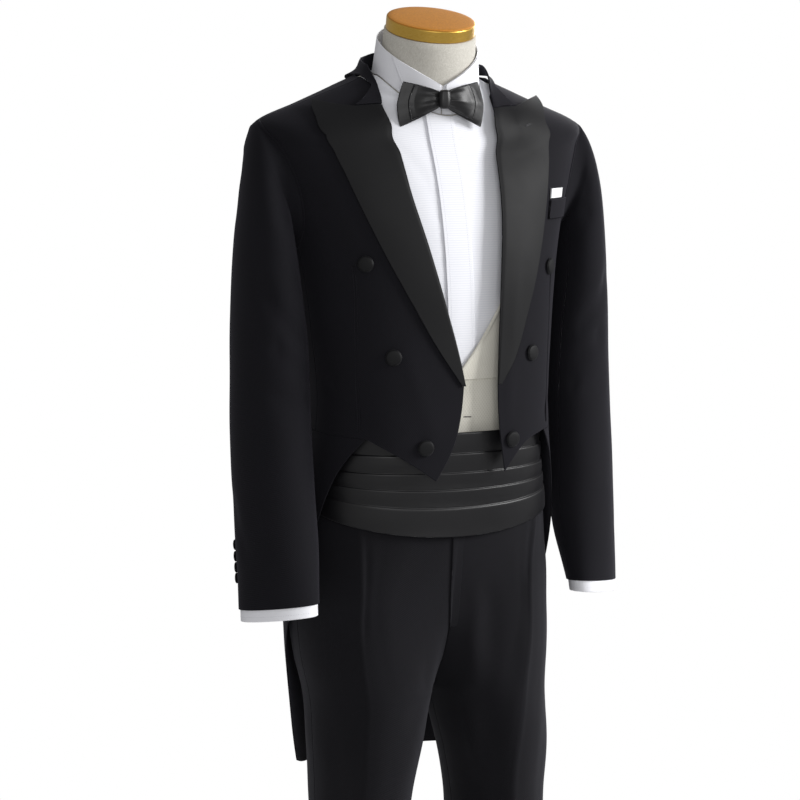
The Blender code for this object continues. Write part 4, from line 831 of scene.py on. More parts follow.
def ribbon(name: str, points: Array, ways: Array, profile: Rows) -> Piece:
    """Makes a narrow raised line, such as a seam's lips.

    Args:
        name: its name.
        points: the line.
        ways: the way out at each point.
        profile: rows of distance across and out.

    Returns:
        The object.
    """
    along = unit(np.gradient(points, axis=0))
    across = unit(np.cross(along, ways))
    shape = np.array(profile, float)
    grid = points[:, None] + across[:, None] * shape[None, :, :1] + ways[:, None] * shape[None, :, 1:]
    return turned(name, grid)


def stitched(name: str, lines: Sequence[tuple[Array, Array]], long: float, pitch: float, thick: float) -> Piece:
    """Makes rows of stitches as short rounded threads.

    Args:
        name: its name.
        lines: each row's points and the ways out there.
        long: a stitch's length.
        pitch: from one stitch to the next.
        thick: the thread's thickness.

    Returns:
        One object with every stitch.
    """
    points, faces, corners, start = [], [], [], 0
    ring = np.radians(np.arange(5) * 72.0)
    for line, ways in lines:
        reach = np.concatenate([[0], np.cumsum(np.linalg.norm(np.diff(line, axis=0), axis=1))])
        for at in np.arange(pitch / 2, reach[-1] - pitch / 2, pitch):
            ends = [at - long / 2, at - long / 4, at + long / 4, at + long / 2]
            spine = np.stack([np.interp(ends, reach, line[:, i]) for i in range(3)], -1)
            way = unit(np.array([np.interp(at, reach, ways[:, i]) for i in range(3)]))
            across = unit(np.cross(spine[-1] - spine[0], way))
            for place, size, sink in zip(spine, (0.35, 1.0, 1.0, 0.35), (0.35, 0.0, 0.0, 0.35)):
                points.append(
                    place
                    + thick / 2 * size * (np.cos(ring)[:, None] * across + 0.8 * np.sin(ring)[:, None] * way)
                    - way * thick * sink
                )
            for k in range(3):
                for i in range(5):
                    j = (i + 1) % 5
                    low, high = start + 5 * k, start + 5 * (k + 1)
                    faces.append((low + i, low + j, high + j, high + i))
                    corners.append(((0, k), (1, k), (1, k + 1), (0, k + 1)))
            start += 20
    return meshed(name, np.concatenate(points), np.array(faces), np.array(corners, float) * 0.0005)


def linear(hex_colour: str) -> tuple[float, float, float, float]:
    """Turns an sRGB colour into a linear one.

    Args:
        hex_colour: six hex digits after a hash.

    Returns:
        Red, green, blue and a full alpha.
    """
    parts = [int(hex_colour[i : i + 2], 16) / 255 for i in (1, 3, 5)]
    red, green, blue = (c / 12.92 if c <= 0.04045 else ((c + 0.055) / 1.055) ** 2.4 for c in parts)
    return red, green, blue, 1.0


def add_node(
    tree: Tree, kind: str, settings: dict[Any, Any], links: dict[Any, Any] | None = None
) -> bpy.types.Node:
    """Adds a node.

    Args:
        tree: the material's nodes.
        kind: the node's type.
        settings: values by an input's name or number, or a property's name.
        links: output sockets by the input that they go to.

    Returns:
        The node.
    """
    node = tree.nodes.new(kind)
    for key, value in settings.items():
        if isinstance(key, str) and key not in node.inputs:
            setattr(node, key, value)
        else:
            node.inputs[key].default_value = value
    for key, source in (links or {}).items():
        tree.links.new(source, node.inputs[key])
    return node


class Weave(Enum):
    """How a cloth's threads cross."""

    TWILL = "twill"
    SATIN = "satin"
    RIB = "rib"
    DIAMOND = "diamond"
    PLAIN = "plain"
    KNIT = "knit"


# A wave texture of scale 1 repeats each WAVE metres along an axis.
WAVE = math.tau / 20


@dataclass(frozen=True)
class Finish:
    """What a piece is made of, the record's slot for it, and its darkest and lightest colour."""

    name: str
    slot: str
    dark: str
    light: str

    def material(self) -> bpy.types.Material:
        """Makes the material once.

        Returns:
            The material.
        """
        if self.name in bpy.data.materials:
            return bpy.data.materials[self.name]
        material = bpy.data.materials.new(self.name)
        material.use_nodes = True
        tree = material.node_tree
        shader = tree.nodes["Principled BSDF"]
        shade, patches, height, (low, high), (strong, deep) = self.draw(tree, shader)
        colours = {"data_type": "RGBA", 6: linear(self.dark), 7: linear(self.light)}
        for socket, kind, settings, links, output in (
            ("Base Color", "ShaderNodeMix", colours, {0: shade}, 2),
            ("Roughness", "ShaderNodeMapRange", {"To Min": low, "To Max": high}, {"Value": patches}, 0),
            ("Normal", "ShaderNodeBump", {"Strength": strong, "Distance": deep}, {"Height": height}, 0),
        ):
            tree.links.new(add_node(tree, kind, settings, links).outputs[output], shader.inputs[socket])
        return material

    def draw(self, tree: Tree, shader: bpy.types.Node) -> Drawn:
        """Draws the finish, each kind in its own way.

        Args:
            tree: its nodes.
            shader: the one that they feed.

        Returns:
            The sockets for its shade, 1 where it is light, for where it is duller and for its
            height, its least and most roughness, and the relief's strength and depth.
        """
        raise NotImplementedError


@dataclass(frozen=True)
class ClothFinish(Finish):
    """A woven or knitted cloth: its two thread colours, its weave and how it takes the light."""

    weave: Weave
    thread_mm: float
    roughness: float = 0.85
    specular: float = 0.3
    sheen: float = 0.2
    sheen_tint: str = "#ffffff"
    anisotropic: float = 0.0
    relief: float = 0.25
    mottle: float = 0.35

    def draw(self, tree: Tree, shader: bpy.types.Node) -> Drawn:
        """Draws the cloth.

        Args:
            tree: its nodes.
            shader: the one that they feed.

        Returns:
            What every finish's draw returns.
        """
        for key, value in (
            ("Specular IOR Level", self.specular), ("Sheen Weight", self.sheen), ("Sheen Roughness", 0.45),
            ("Sheen Tint", linear(self.sheen_tint)), ("Anisotropic", self.anisotropic), ("IOR", 1.5),
        ):
            shader.inputs[key].default_value = value
        cut = add_node(tree, "ShaderNodeUVMap", {"uv_map": "cut"}).outputs["UV"]
        place = add_node(tree, "ShaderNodeTexCoord", {}).outputs["Object"]
        weave = self.threads(tree, cut)
        noises = (
            {"Scale": 900.0, "Detail": 2.0, "Roughness": 0.6},
            {"Scale": 16.0, "Detail": 3.0, "Roughness": 0.55},
        )
        fuzz, cloudy = (
            add_node(tree, "ShaderNodeTexNoise", noise, {"Vector": place}).outputs["Fac"] for noise in noises
        )
        height = add_node(
            tree, "ShaderNodeMix", {"data_type": "FLOAT", 0: 0.35}, {2: weave, 3: fuzz}
        ).outputs[0]
        shade = add_node(
            tree, "ShaderNodeMix", {"data_type": "FLOAT", 0: self.mottle}, {2: height, 3: cloudy}
        ).outputs[0]
        spread = max(0.05, self.roughness - 0.06), min(1.0, self.roughness + 0.06)
        return shade, cloudy, height, spread, (self.relief, 0.0004)

    def threads(self, tree: Tree, cut: Socket) -> Socket:
        """Draws the threads.

        Args:
            tree: its nodes.
            cut: flat places on the cloth in metres.

        Returns:
            The socket that gives the threads' height.
        """
        repeat = WAVE / (self.thread_mm / 1000)

        def wave(turn: float, settings: dict[str, Any]) -> Socket:
            """Waves across the cloth, turned by some degrees."""
            place = cut
            if turn:
                rotation = (0.0, 0.0, math.radians(turn))
                place = add_node(tree, "ShaderNodeMapping", {"Rotation": rotation}, {"Vector": cut}).outputs[0]
            settings = {"Scale": repeat, **settings}
            return add_node(tree, "ShaderNodeTexWave", settings, {"Vector": place}).outputs["Fac"]

        if self.weave in (Weave.TWILL, Weave.SATIN):
            lean = 63.0 if self.weave is Weave.TWILL else 12.0
            return wave(lean, {"Distortion": 0.6, "Detail": 1.0, "Detail Scale": 2.0})
        if self.weave is Weave.RIB:
            return wave(0.0, {"bands_direction": "Y", "Distortion": 0.25})
        if self.weave is Weave.KNIT:
            settings = {"Scale": 1000 / self.thread_mm, "Randomness": 0.85}
            return add_node(tree, "ShaderNodeTexVoronoi", settings, {"Vector": cut}).outputs["Distance"]
        turns = (0.0, 90) if self.weave is Weave.PLAIN else (38.0, -38.0)
        first, second = (wave(turn, {"Distortion": 0.3}) for turn in turns)
        return add_node(tree, "ShaderNodeMath", {"operation": "MAXIMUM"}, {0: first, 1: second}).outputs[0]


@dataclass(frozen=True)
class HardFinish(Finish):
    """A metal, varnished or coated surface."""

    metallic: float
    roughness: float
    grain_mm: float
    stretch: float = 1.0
    relief: float = 0.1

    def draw(self, tree: Tree, shader: bpy.types.Node) -> Drawn:
        """Draws the surface's fine grain.

        Args:
            tree: its nodes.
            shader: the one that they feed.

        Returns:
            What every finish's draw returns.
        """
        shader.inputs["Metallic"].default_value = self.metallic
        place = add_node(tree, "ShaderNodeTexCoord", {}).outputs["Object"]
        scaled = add_node(
            tree, "ShaderNodeMapping", {"Scale": (1.0, 1.0, self.stretch)}, {"Vector": place}
        ).outputs[0]
        grain = add_node(
            tree, "ShaderNodeTexNoise", {"Scale": 1000 / self.grain_mm, "Detail": 3.0}, {"Vector": scaled}
        ).outputs["Fac"]
        spread = self.roughness - 0.06, self.roughness + 0.08
        return grain, grain, grain, spread, (self.relief, 0.0003)


# Barathea, a worsted evening cloth: matt black with a faint violet cast. Its 0.5 mm twill is too
# fine to show here and is drawn at 2.4 mm.
COAT_WOOL = ClothFinish(
    "barathea_wool", "coat_wool", "#08080b", "#1b1a20", Weave.TWILL, 2.4, 0.86, 0.16, 0.1, "#b9b6c8"
)
# Dress trousering, a greyer black worsted, drawn coarser in the same way.
TROUSER_WOOL = ClothFinish(
    "worsted_trousering", "trouser_wool", "#0a0a0c", "#1a191e", Weave.TWILL, 2.2, 0.88, 0.16, 0.13, "#b8b8c4"
)
# Duchesse satin, woven with long floats: a dull even gloss on the facings and the covered buttons.
FACING_SATIN = ClothFinish(
    "duchesse_satin", "lapel_satin", "#050506", "#0d0d10",
    Weave.SATIN, 1.8, 0.6, 0.24, 0.04, "#c0bfce", 0.3, 0.1
)
# The sash's and tie's lighter satin, pressed in folds, which shines where it bulges.
SASH_SATIN = ClothFinish(
    "sash_satin_silk", "sash_satin", "#060607", "#0f0e12",
    Weave.SATIN, 1.6, 0.4, 0.5, 0.03, "#cfcedd", 0.4, 0.08
)
# Cotton pique, woven with fine cords across the front; its 1 mm cords are drawn at 3 mm.
SHIRT_PIQUE = ClothFinish(
    "cotton_pique", "shirt_cotton", "#e8eaf2", "#fbfbff",
    Weave.RIB, 3.0, 0.8, 0.3, 0.12, "#ffffff", 0.0, 0.22, 0.3
)
# Starched poplin of the collar and cuffs: smooth, white and crisp.
SHIRT_POPLIN = ClothFinish(
    "starched_poplin", "shirt_cotton", "#e4e5ee", "#fcfcff",
    Weave.PLAIN, 1.4, 0.62, 0.4, 0.08, "#ffffff", 0.0, 0.12, 0.3
)
# Marcella of the waistcoat, cream, with a small diamond raised on it.
WAISTCOAT_MARCELLA = ClothFinish(
    "cotton_marcella", "waistcoat_cotton", "#d0ccbe", "#efece2",
    Weave.DIAMOND, 3.2, 0.82, 0.25, 0.15, "#fffdf2", 0.0, 0.4, 0.3
)
WAISTCOAT_RIB = ClothFinish(
    "rib_edging", "waistcoat_cotton", "#c9c6ba", "#e8e6dc",
    Weave.TWILL, 1.6, 0.75, 0.3, 0.15, "#fffdf2", 0.0, 0.2
)
SQUARE_LINEN = ClothFinish(
    "pocket_linen", "pocket_linen", "#dfe0e4", "#fafafc", Weave.PLAIN, 1.6, 0.78, 0.3, 0.12, "#ffffff", 0.0, 0.3
)
# Wool jersey stretched over the form: beige-grey with darker and lighter fibres spun in.
FORM_JERSEY = ClothFinish(
    "melange_jersey", "form_jersey", "#a9a499", "#e2dfd7",
    Weave.KNIT, 1.1, 0.92, 0.2, 0.2, "#f4f0e6", 0.0, 0.3, 0.06
)
BLACK_THREAD = ClothFinish(
    "silk_thread", "lapel_satin", "#101012", "#2c2b31", Weave.TWILL, 0.6, 0.5, 0.4, 0.1
)
PALE_THREAD = ClothFinish(
    "cotton_thread", "shirt_cotton", "#c8c9d2", "#eeeef4", Weave.TWILL, 0.6, 0.6, 0.3, 0.1
)
# Anodised aluminium, gold, brushed round the cap's band, which draws fine lines along it.
CAP_GOLD = HardFinish(
    "gold_anodised_aluminium", "cap_brass", "#c8901c", "#f0cf74", 1.0, 0.34, 4.0, 14.0, 0.06
)
# The cap's top, beech stained a warm orange brown and varnished.
CAP_BEECH = HardFinish(
    "varnished_beech", "cap_brass", "#ac660f", "#e39c36", 0.0, 0.62, 2.5, 1.0, 0.12
)
# Powder-coated steel: satin black with a faint orange-peel surface.
STAND_STEEL = HardFinish(
    "powder_coated_steel", "stand_steel", "#161617", "#222224", 0.0, 0.46, 1.6, 1.0, 0.15
)


# The shortest side of a flat cut, in metres, and the share of its box that it fills at least: the
# box of a thin bent panel is narrowed until the panel does.
LEAST_SIDE, LEAST_FILL = 0.0101, 0.31


@dataclass
class Assembly:
    """What every sub-assembly of the outfit does with its pieces."""

    made: list[Piece] = field(default_factory=list)
    cloth: float = CLOTH
    rough: float = 0.0004
    surface: Surface | None = None

    def add(self, piece: Piece, finish: Finish, *nodes: str, slot: str = "") -> Piece:
        """Dresses a piece and fixes it to the form.

        Args:
            piece: the finished mesh.
            finish: what it is made of.
            nodes: the solids that it stands for.
            slot: the record's slot, where it isn't the finish's own; not used.

        Returns:
            The piece.
        """
        piece.data.materials.append(finish.material())
        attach(piece, "root")
        if nodes:
            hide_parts(*nodes)
        self.made.append(piece)
        LOG.info("%s: %d faces", piece.name, len(piece.data.polygons))
        return piece

    def add_cloth(self, cloth: Sewn, finish: Finish, held: str, rests_on: str, *nodes: str) -> None:
        """Args:
            cloth: the piece and its cut.
            finish: its cloth.
            held: how it is held; not used.
            rests_on: what it lies on or hangs from; not used.
            nodes: the solids that it stands for.
        """
        piece = self.add(cloth.obj, finish, *nodes)
        width, length = max(cloth.width, LEAST_SIDE), max(cloth.length, LEAST_SIDE)
        width *= min(1.0, cloth.area / (LEAST_FILL * width * length))

    def sew(
        self, node: str, places: Array, finish: Finish, held: str, rests_on: str,
        out: Array | float = 0.0, folds: Iterable[Fold] = (), name: str = "",
        surface: Surface | None = None, thick: float | None = None, rough: float | None = None,
    ) -> None:
        """Cuts a panel of cloth on a surface and adds it. What isn't given is the garment's own.

        Args:
            node: the solid that it stands for.
            places: its grid of levels and angles.
            finish: its cloth.
            held: how it is held.
            rests_on: what it lies on or hangs from.
            out: how far its outer face stands out.
            folds: the folds in it.
            name: its name, where that isn't the solid's and "_cloth".
            surface: what it lies on.
            thick: the cloth's thickness.
            rough: how uneven it hangs.
        """
        surface = surface or self.surface
        thick, rough = self.cloth if thick is None else thick, self.rough if rough is None else rough
        lift = lifted(surface, places, out, folds, rough)
        outer, inner = surface.grid(places, lift), surface.grid(places, lift - thick)
        for axis in (0, 1):
            outer, inner = pulled(outer, axis, SEAM / 2), pulled(inner, axis, SEAM / 2)
        self.add_cloth(sewn(name or f"{node}_cloth", outer, inner), finish, held, rests_on, node)


def button_rings(centre: Array, way: Array, radius: float, rise: float) -> Array:
    """Makes the rings of a covered button: a dome whose cloth is gathered under its rim.

    Args:
        centre: the middle of its foot.
        way: the way it faces.
        radius: its radius.
        rise: how far its foot stands off.

    Returns:
        A grid of points.
    """
    profile = (
        (0.6, 0.01), (0.86, 0.03), (0.97, 0.1), (1.0, 0.17), (0.99, 0.23), (0.95, 0.285), (0.88, 0.32),
        (0.89, 0.345), (0.8, 0.375), (0.62, 0.405), (0.4, 0.422), (0.18, 0.43),
    )
    way = unit(np.asarray(way))
    across = unit(np.cross(way, (0.0, 0.0, 1.0)))
    up = np.cross(across, way)
    turns = np.radians(np.arange(48) * 7.5)
    around = np.cos(turns)[:, None] * across + np.sin(turns)[:, None] * up
    gathers = 1 + 0.012 * np.cos(12 * turns)[:, None]
    rings = []
    for reach, height in profile:
        size = radius * reach * (gathers if height < 0.3 else 1.0)
        rings.append(centre + way * (rise + height * radius) + around * size)
    return np.stack(rings)


def circle(count: int) -> Array:
    """Points round a circle of radius one that lies flat."""
    turns = np.radians(np.arange(count) * 360.0 / count)
    return np.stack([np.cos(turns), np.sin(turns), 0.0 * turns], -1)


def lathe(count: int, profile: Rows, x: float = 0.0, y: float = 0.0) -> Array:
    """Rings round a standing axis, at a profile's radii and heights."""
    return np.stack([circle(count) * r + np.array([x, y, z]) for r, z in profile])


@dataclass
class DressForm(Assembly):
    """The limbless form in jersey, its cap, the pole and the round base."""

    rows: Rows = FORM_ROWS
    neck_radius: float = 0.0598
    cap_radius: float = 0.0568
    cap_tall: float = 0.0168
    cap_tilt: float = 17.3
    cap_turn: float = -6.7
    cap_foot: tuple[float, float, float] = (0.0, -0.0325, 1.5823)

    def neck_ring(self, angles: Array, radius: float, centre: Any, slope: float) -> Array:
        """Makes a tilted ring of the neck.

        Args:
            angles: angles in radians.
            radius: its radius.
            centre: its middle.
            slope: how steeply it falls to the front.

        Returns:
            Points.
        """
        turn = math.radians(self.cap_turn)
        ahead = np.array([math.sin(turn), -math.cos(turn), 0.0])
        ring = radius * np.stack([np.sin(angles), -np.cos(angles), 0.0 * angles], -1)
        return np.array(centre) + ring - (slope * (ring @ ahead))[:, None] * np.array([0.0, 0.0, 1.0])

    def trunk(self) -> None:
        """Stretches the jersey over the trunk and the neck."""
        surface = over(torso(self.rows), TRUNK_EASE)
        angles = np.linspace(-88.0, 268.0, 90)
        levels = np.concatenate([[0.8705], np.linspace(0.874, 1.525, 90)])
        rings = [surface.grid(np.stack([np.full(90, level), angles], -1)) for level in levels]
        around, slope = np.radians(angles), math.tan(math.radians(self.cap_tilt))
        top = np.array(self.cap_foot) - np.array([0.0, 0.0, SEAM])
        stops = [
            rings[-1],
            self.neck_ring(around, 0.062, (0.0, -0.0215, 1.533), 0.4),
            self.neck_ring(around, self.neck_radius, (0.0, -0.0275, 1.553), 0.34),
            self.neck_ring(around, self.neck_radius - 0.0012, top, slope),
        ]
        for low, high in zip(stops, stops[1:]):
            rings += [low + (high - low) * share for share in (0.25, 0.5, 0.75, 1.0)]
        rings.append(rings[-1] + (np.array(self.cap_foot) - rings[-1]) * 0.04)
        self.add(turned("form_jersey_cover", np.stack(rings)), FORM_JERSEY, "form_body")

    def cap(self) -> None:
        """Sets the gold band and the varnished top on the neck."""
        lean, turn = math.radians(self.cap_tilt), math.radians(self.cap_turn)
        ahead = np.array([math.sin(turn), -math.cos(turn), 0.0])
        way = ahead * math.sin(lean) + np.array([0.0, 0.0, math.cos(lean)])
        around, foot, tall = np.radians(np.arange(128) * 2.8125), np.array(self.cap_foot), self.cap_tall

        def rings(profile: Rows) -> Array:
            """The cap's rings at these radii and heights."""
            return np.stack(
                [self.neck_ring(around, r, foot + way * height, math.tan(lean)) for r, height in profile]
            )

        r = self.cap_radius
        band = (
            (r * 0.9, 0.0003), (r - 0.0012, 0.0002), (r - 0.0003, 0.0006), (r, 0.0014), (r, 0.0016),
            (r, tall * 0.5), (r, tall - 0.003), (r, tall - 0.0024), (r - 0.0003, tall - 0.0014),
            (r - 0.0012, tall - 0.001), (r - 0.004, tall - 0.0011),
        )
        self.add(turned("cap_band", rings(band)), CAP_GOLD, "form_cap")
        top = (
            (r - 0.003, tall - 0.0016), (r - 0.0014, tall - 0.001), (r - 0.0012, tall - 0.0004),
            (r - 0.0022, tall + 0.0001), (r * 0.85, tall + 0.0005), (r * 0.5, tall + CAP_CROWN * 0.8),
            (r * 0.2, tall + CAP_CROWN), (r * 0.05, tall + CAP_CROWN),
        )
        self.add(turned("cap_top", rings(top)), CAP_BEECH)

    def stand(self) -> None:
        """Sets up the pole, with its clamp rings, and the round base."""
        r, low, high = POLE_R, BASE_TALL + SEAM, FORM_BOTTOM - SEAM
        pole = (
            (r, low), (r, low + 0.018), (r - 0.0006, low + 0.019), (r - 0.0006, low + 0.02),
            (r - 0.0004, low + 0.021), (r - 0.0004, high - 0.03), (r - 0.0008, high - 0.029),
            (r, high - 0.027), (r, high - 0.001), (r - 0.001, high),
        )
        self.add(turned("stand_tube", lathe(64, pole, POLE_X, POLE_Y)), STAND_STEEL, "stand_pole")
        r, t, e = BASE_R, BASE_TALL, BASE_EDGE
        rim = [(r - e + e * math.sin(a), t - e + e * math.cos(a)) for a in np.radians([90, 70, 50, 30, 10, 0])]
        base = [(r - 0.0008, 0.0), (r, 0.0008), *rim, (r * 0.9, t), (r * 0.3, t)]
        self.add(turned("stand_disc", lathe(128, base)), STAND_STEEL, "stand_base")

    def build(self) -> None:
        """Builds the form from the trunk to the base."""
        self.trunk()
        self.cap()
        self.stand()


def armhole(side: float, count: int, times: int) -> Array:
    """Places round the armhole: from the shoulder to the front, under and up, count to each third."""
    thirds = [path(line, count, times)[::-1][:-1] for line in (ARMHOLE_FRONT, ARMHOLE_UNDER, ARMHOLE_BACK)]
    return sided(np.concatenate(thirds), side)


def raised(places: Array) -> Array:
    """Places of the armhole with its foot raised, so that the shirt's sleeve clears the coat's."""
    rise = SHIRT_ARM_LIFT * np.clip((1.36 - places[..., 0]) / 0.05, 0, 1)
    return np.stack([places[..., 0] + rise, places[..., 1]], -1)


@dataclass
class SleeveShape:
    """The rings that a sleeve is drawn through."""

    rows: Rows = SLEEVE_ROWS
    clear: float = 0.0012

    def ring(self, row: tuple[float, ...], side: float, angles: Array) -> Array:
        """Makes one ring.

        Args:
            row: its values, in the columns of SLEEVE_COLUMNS.
            side: -1 on the wearer's right.
            angles: angles in radians.

        Returns:
            Points.
        """
        value = dict(zip(SLEEVE_COLUMNS.split(), row))
        outer = np.array([value["outer_x"], value["middle"], value["outer_z"]])
        inner = np.array([value["inner_x"], value["middle"], value["inner_z"]])
        centre, reach = (outer + inner) / 2, np.linalg.norm(outer - inner) / 2
        outward, ahead = (outer - inner) / (2 * reach), np.array([0.0, -1.0, value["rise"]])
        turn = math.radians(value["turn"])
        long_way = ahead * math.cos(turn) - outward * math.sin(turn)
        short_way = outward * math.cos(turn) + ahead * math.sin(turn)
        cosine, sine = np.cos(angles)[:, None], np.sin(angles)[:, None]
        points = centre + short_way * reach * cosine + long_way * value["depth"] * sine
        return points * np.array([side, 1.0, 1.0])

    def cleared(self, points: Array, side: float) -> Array:
        """Pushes points out sideways where they lie too near the coat's side.

        Args:
            points: the sleeve's points.
            side: -1 on the wearer's right.

        Returns:
            The points.
        """
        table = Table(TORSO_COLUMNS, COAT_ROWS)
        half, front, back, middle, square = table.at(
            points[..., 2], "half", "front", "back", "middle", "square"
        )
        depth = np.where(points[..., 1] < middle, front + middle, back - middle)
        share = np.clip((points[..., 1] - middle) / depth, -1, 1)
        bulge = 1 + square * (2 * share * np.sqrt(1 - share**2)) ** 2
        wall_x = half * bulge * np.sqrt(1 - np.clip(share / bulge, -1, 1) ** 2) + self.clear
        x = points[..., 0] * side
        pushed = wall_x + 0.002 * np.log1p(np.exp(np.clip((x - wall_x) / 0.002, -40, 40)))
        result = points.copy()
        result[..., 0] = np.where(x > wall_x + 0.02, x, pushed) * side
        return result

    def grid(self, side: float, count: int, split: int, times: int) -> tuple[Array, Array]:
        """Draws a sleeve from its head to its hem.

        Args:
            side: -1 on the wearer's right.
            count: the solid's places to each third of the armhole.
            split: how many gaps each of those gaps is split into.
            times: rows to each gap between two rings.

        Returns:
            The sleeve's points and the way out at each.
        """
        third = fine(count, split) - 1
        around = np.radians(np.arange(3 * third) * 120.0 / third)
        head = torso(COAT_ROWS).grid(armhole(side, count, split)) + np.array([side * 0.0009, 0.0, 0.0])
        rings = np.stack([head] + [self.ring(row, side, around) for row in self.rows])
        if times > 1:
            bends = np.gradient(rings, axis=0)
            at = np.linspace(0, len(rings) - 1, fine(len(rings), times))
            row = np.minimum(at.astype(int), len(rings) - 2)
            t = (at - row)[:, None, None]
            rise = 3 * t**2 - 2 * t**3
            rings = (
                (1 - rise) * rings[row] + rise * rings[row + 1]
                + (t**3 - 2 * t**2 + t) * bends[row] + (t**3 - t**2) * bends[row + 1]
            )
        rings[1:] = self.cleared(rings[1:], side)
        return rings, self.normals(rings, side)

    def normals(self, grid: Array, side: float) -> Array:
        """The way out at each point of a tube of rings."""
        around = np.roll(grid, -1, axis=1) - np.roll(grid, 1, axis=1)
        return unit(np.cross(around, np.gradient(grid, axis=0)) * side)


@dataclass
class Shirt(Assembly):
    """The white shirt: body, placket, standing collar with wings, sleeves and cuffs."""

    cloth: float = FINE_CLOTH
    rough: float = 0.0003
    cuff_shows: float = CUFF_SHOWS
    cuff_tall: float = CUFF_TALL
    wing_tall: float = 0.032
    surface: Surface = field(default_factory=lambda: over(torso(FORM_ROWS), SHIRT_EASE))

    def body(self) -> None:
        """Sews the front and the back."""
        times, seam = 6, path(((0.965, 84), (1.14, 84), (1.32, 84)), 5, 6)
        shoulder = path(SHOULDER_SEAM, 4, times)
        front_arm = raised(path(ARMHOLE_FRONT, 5, times))
        under = raised(path(ARMHOLE_UNDER, 5, times))[::-1]
        back_arm = raised(path(ARMHOLE_BACK, 5, times))[::-1]
        seam[-1] = front_arm[0]
        left = joined(seam, front_arm, shoulder)
        across = fine(11, 8)
        places = patch(
            sided(left, -1.0), left, path(((0.965, -84), (0.965, 84)), across),
            path(((NECK_LEVEL, -88.0), (NECK_LEVEL, 88.0)), across),
        )
        folds = (
            Fold(((1.47, -24), (1.4, -13), (1.32, -9)), -0.0006, 0.006),
            Fold(((1.45, 20), (1.36, 14), (1.26, 10)), -0.0006, 0.007),
            Fold(((1.3, -4), (1.23, 2), (1.17, 3)), 0.0005, 0.006),
        )
        self.sew("shirt_front", places, SHIRT_PIQUE, "hung", "form_jersey_cover", folds=folds)
        left = joined(seam, under, back_arm, shoulder)
        right = behind(left)
        places = patch(left, right, across, across)
        self.sew("shirt_back", places, SHIRT_POPLIN, "hung", "form_jersey_cover")

    def placket(self) -> None:
        """Sews the placket and its two rows of stitches."""
        levels = np.interp(np.linspace(0, 13, 14, 6), np.arange(14), PLACKET_LEVELS)
        halves, = Table(TORSO_COLUMNS, FORM_ROWS).at(levels, "half")
        edges = []
        for reach in PLACKET_SIDES:
            reaches = reach - (levels - 1.3) * PLACKET_LEANS
            edges.append(np.stack([levels, np.degrees(np.arcsin(reaches / halves))], -1))
        left, right = edges
        places = patch(left, right, 13, 13)
        self.sew("shirt_placket", places, SHIRT_PIQUE, "laid", "shirt_front_cloth", PLACKET_OUT)
        rows = []
        for share in (0.13, 0.87):
            line = left * (1 - share) + right * share
            out = lifted(self.surface, line[:, None], PLACKET_OUT, (), 0.0003)[:, 0]
            rows.append(self.surface.strip(line, out))
        self.add(stitched("placket_stitches", rows, 0.002, 0.003, 0.0005), PALE_THREAD)

    def band(self) -> Surface:
        """Gives the standing collar's surface.

        Returns:
            Level 0 is its foot and 1 its top.
        """
        angles, heights = np.array(COLLAR_TOP_LEVELS).T

        def point(level: Array, angle: Array) -> Array:
            """Works out a point.

            Args:
                level: its level.
                angle: its angle in degrees.

            Returns:
                The point.
            """
            turn = np.radians(angle)
            foot = self.surface.point(NECK_LEVEL + 0 * level, angle)
            away = np.abs((angle - SHIRT_TURN + 180.0) % 360.0 - 180.0)
            top = np.stack(
                [
                    COLLAR_TOP_HALF * np.sin(turn),
                    COLLAR_TOP_MIDDLE - COLLAR_TOP_DEPTH * np.cos(turn),
                    np.interp(away, angles, heights),
                ],
                -1,
            )
            share = np.asarray(level)[..., None]
            return foot * (1 - share) + top * share

        return Surface(point)

    def collar(self) -> None:
        """Stands the collar up and turns its two wings down in front."""
        band, turn = self.band(), SHIRT_TURN
        left = path(((0.03, turn + 0.3), (1.0, turn + 0.3)), 4, 4)
        right = left + np.array([0.0, 359.4])
        across = fine(25, 6)
        self.sew(
            "shirt_collar_band", patch(left, right, across, across), SHIRT_POPLIN, "folded",
            "shirt_front_cloth", name="collar_band_cloth", surface=band, rough=0.0,
        )
        for name, side in SIDES:
            drop, near, far = 1.0 - self.wing_tall / 0.045, WING_FROM, WING_TO
            inside = path(((0.8, near), (0.9, near), (1.0, near)), 4, 8)
            outside = path(((drop, far - 20.0), (0.62, far - 11.0), (1.0, far)), 4, 8)
            low, high = path((inside[0], outside[0]), 5, 8), path((inside[-1], outside[-1]), 5, 8)
            places = sided(patch(inside, outside, low, high), side) + np.array([0.0, turn])
            stand = 0.002 + 0.003 * (1.0 - places[..., 0])
            self.sew(
                f"shirt_wing_{name}", places, SHIRT_POPLIN, "folded", "collar_band_cloth", stand,
                surface=band, rough=0.0,
            )
            line = np.concatenate([places[3, 3:-3], places[3:-3, -4]])
            out = 0.002 + 0.003 * (1.0 - line[:, 0])
            rows = [band.strip(line, out)]
            self.add(stitched(f"wing_stitches_{name}", rows, 0.0018, 0.0028, 0.0004), PALE_THREAD)

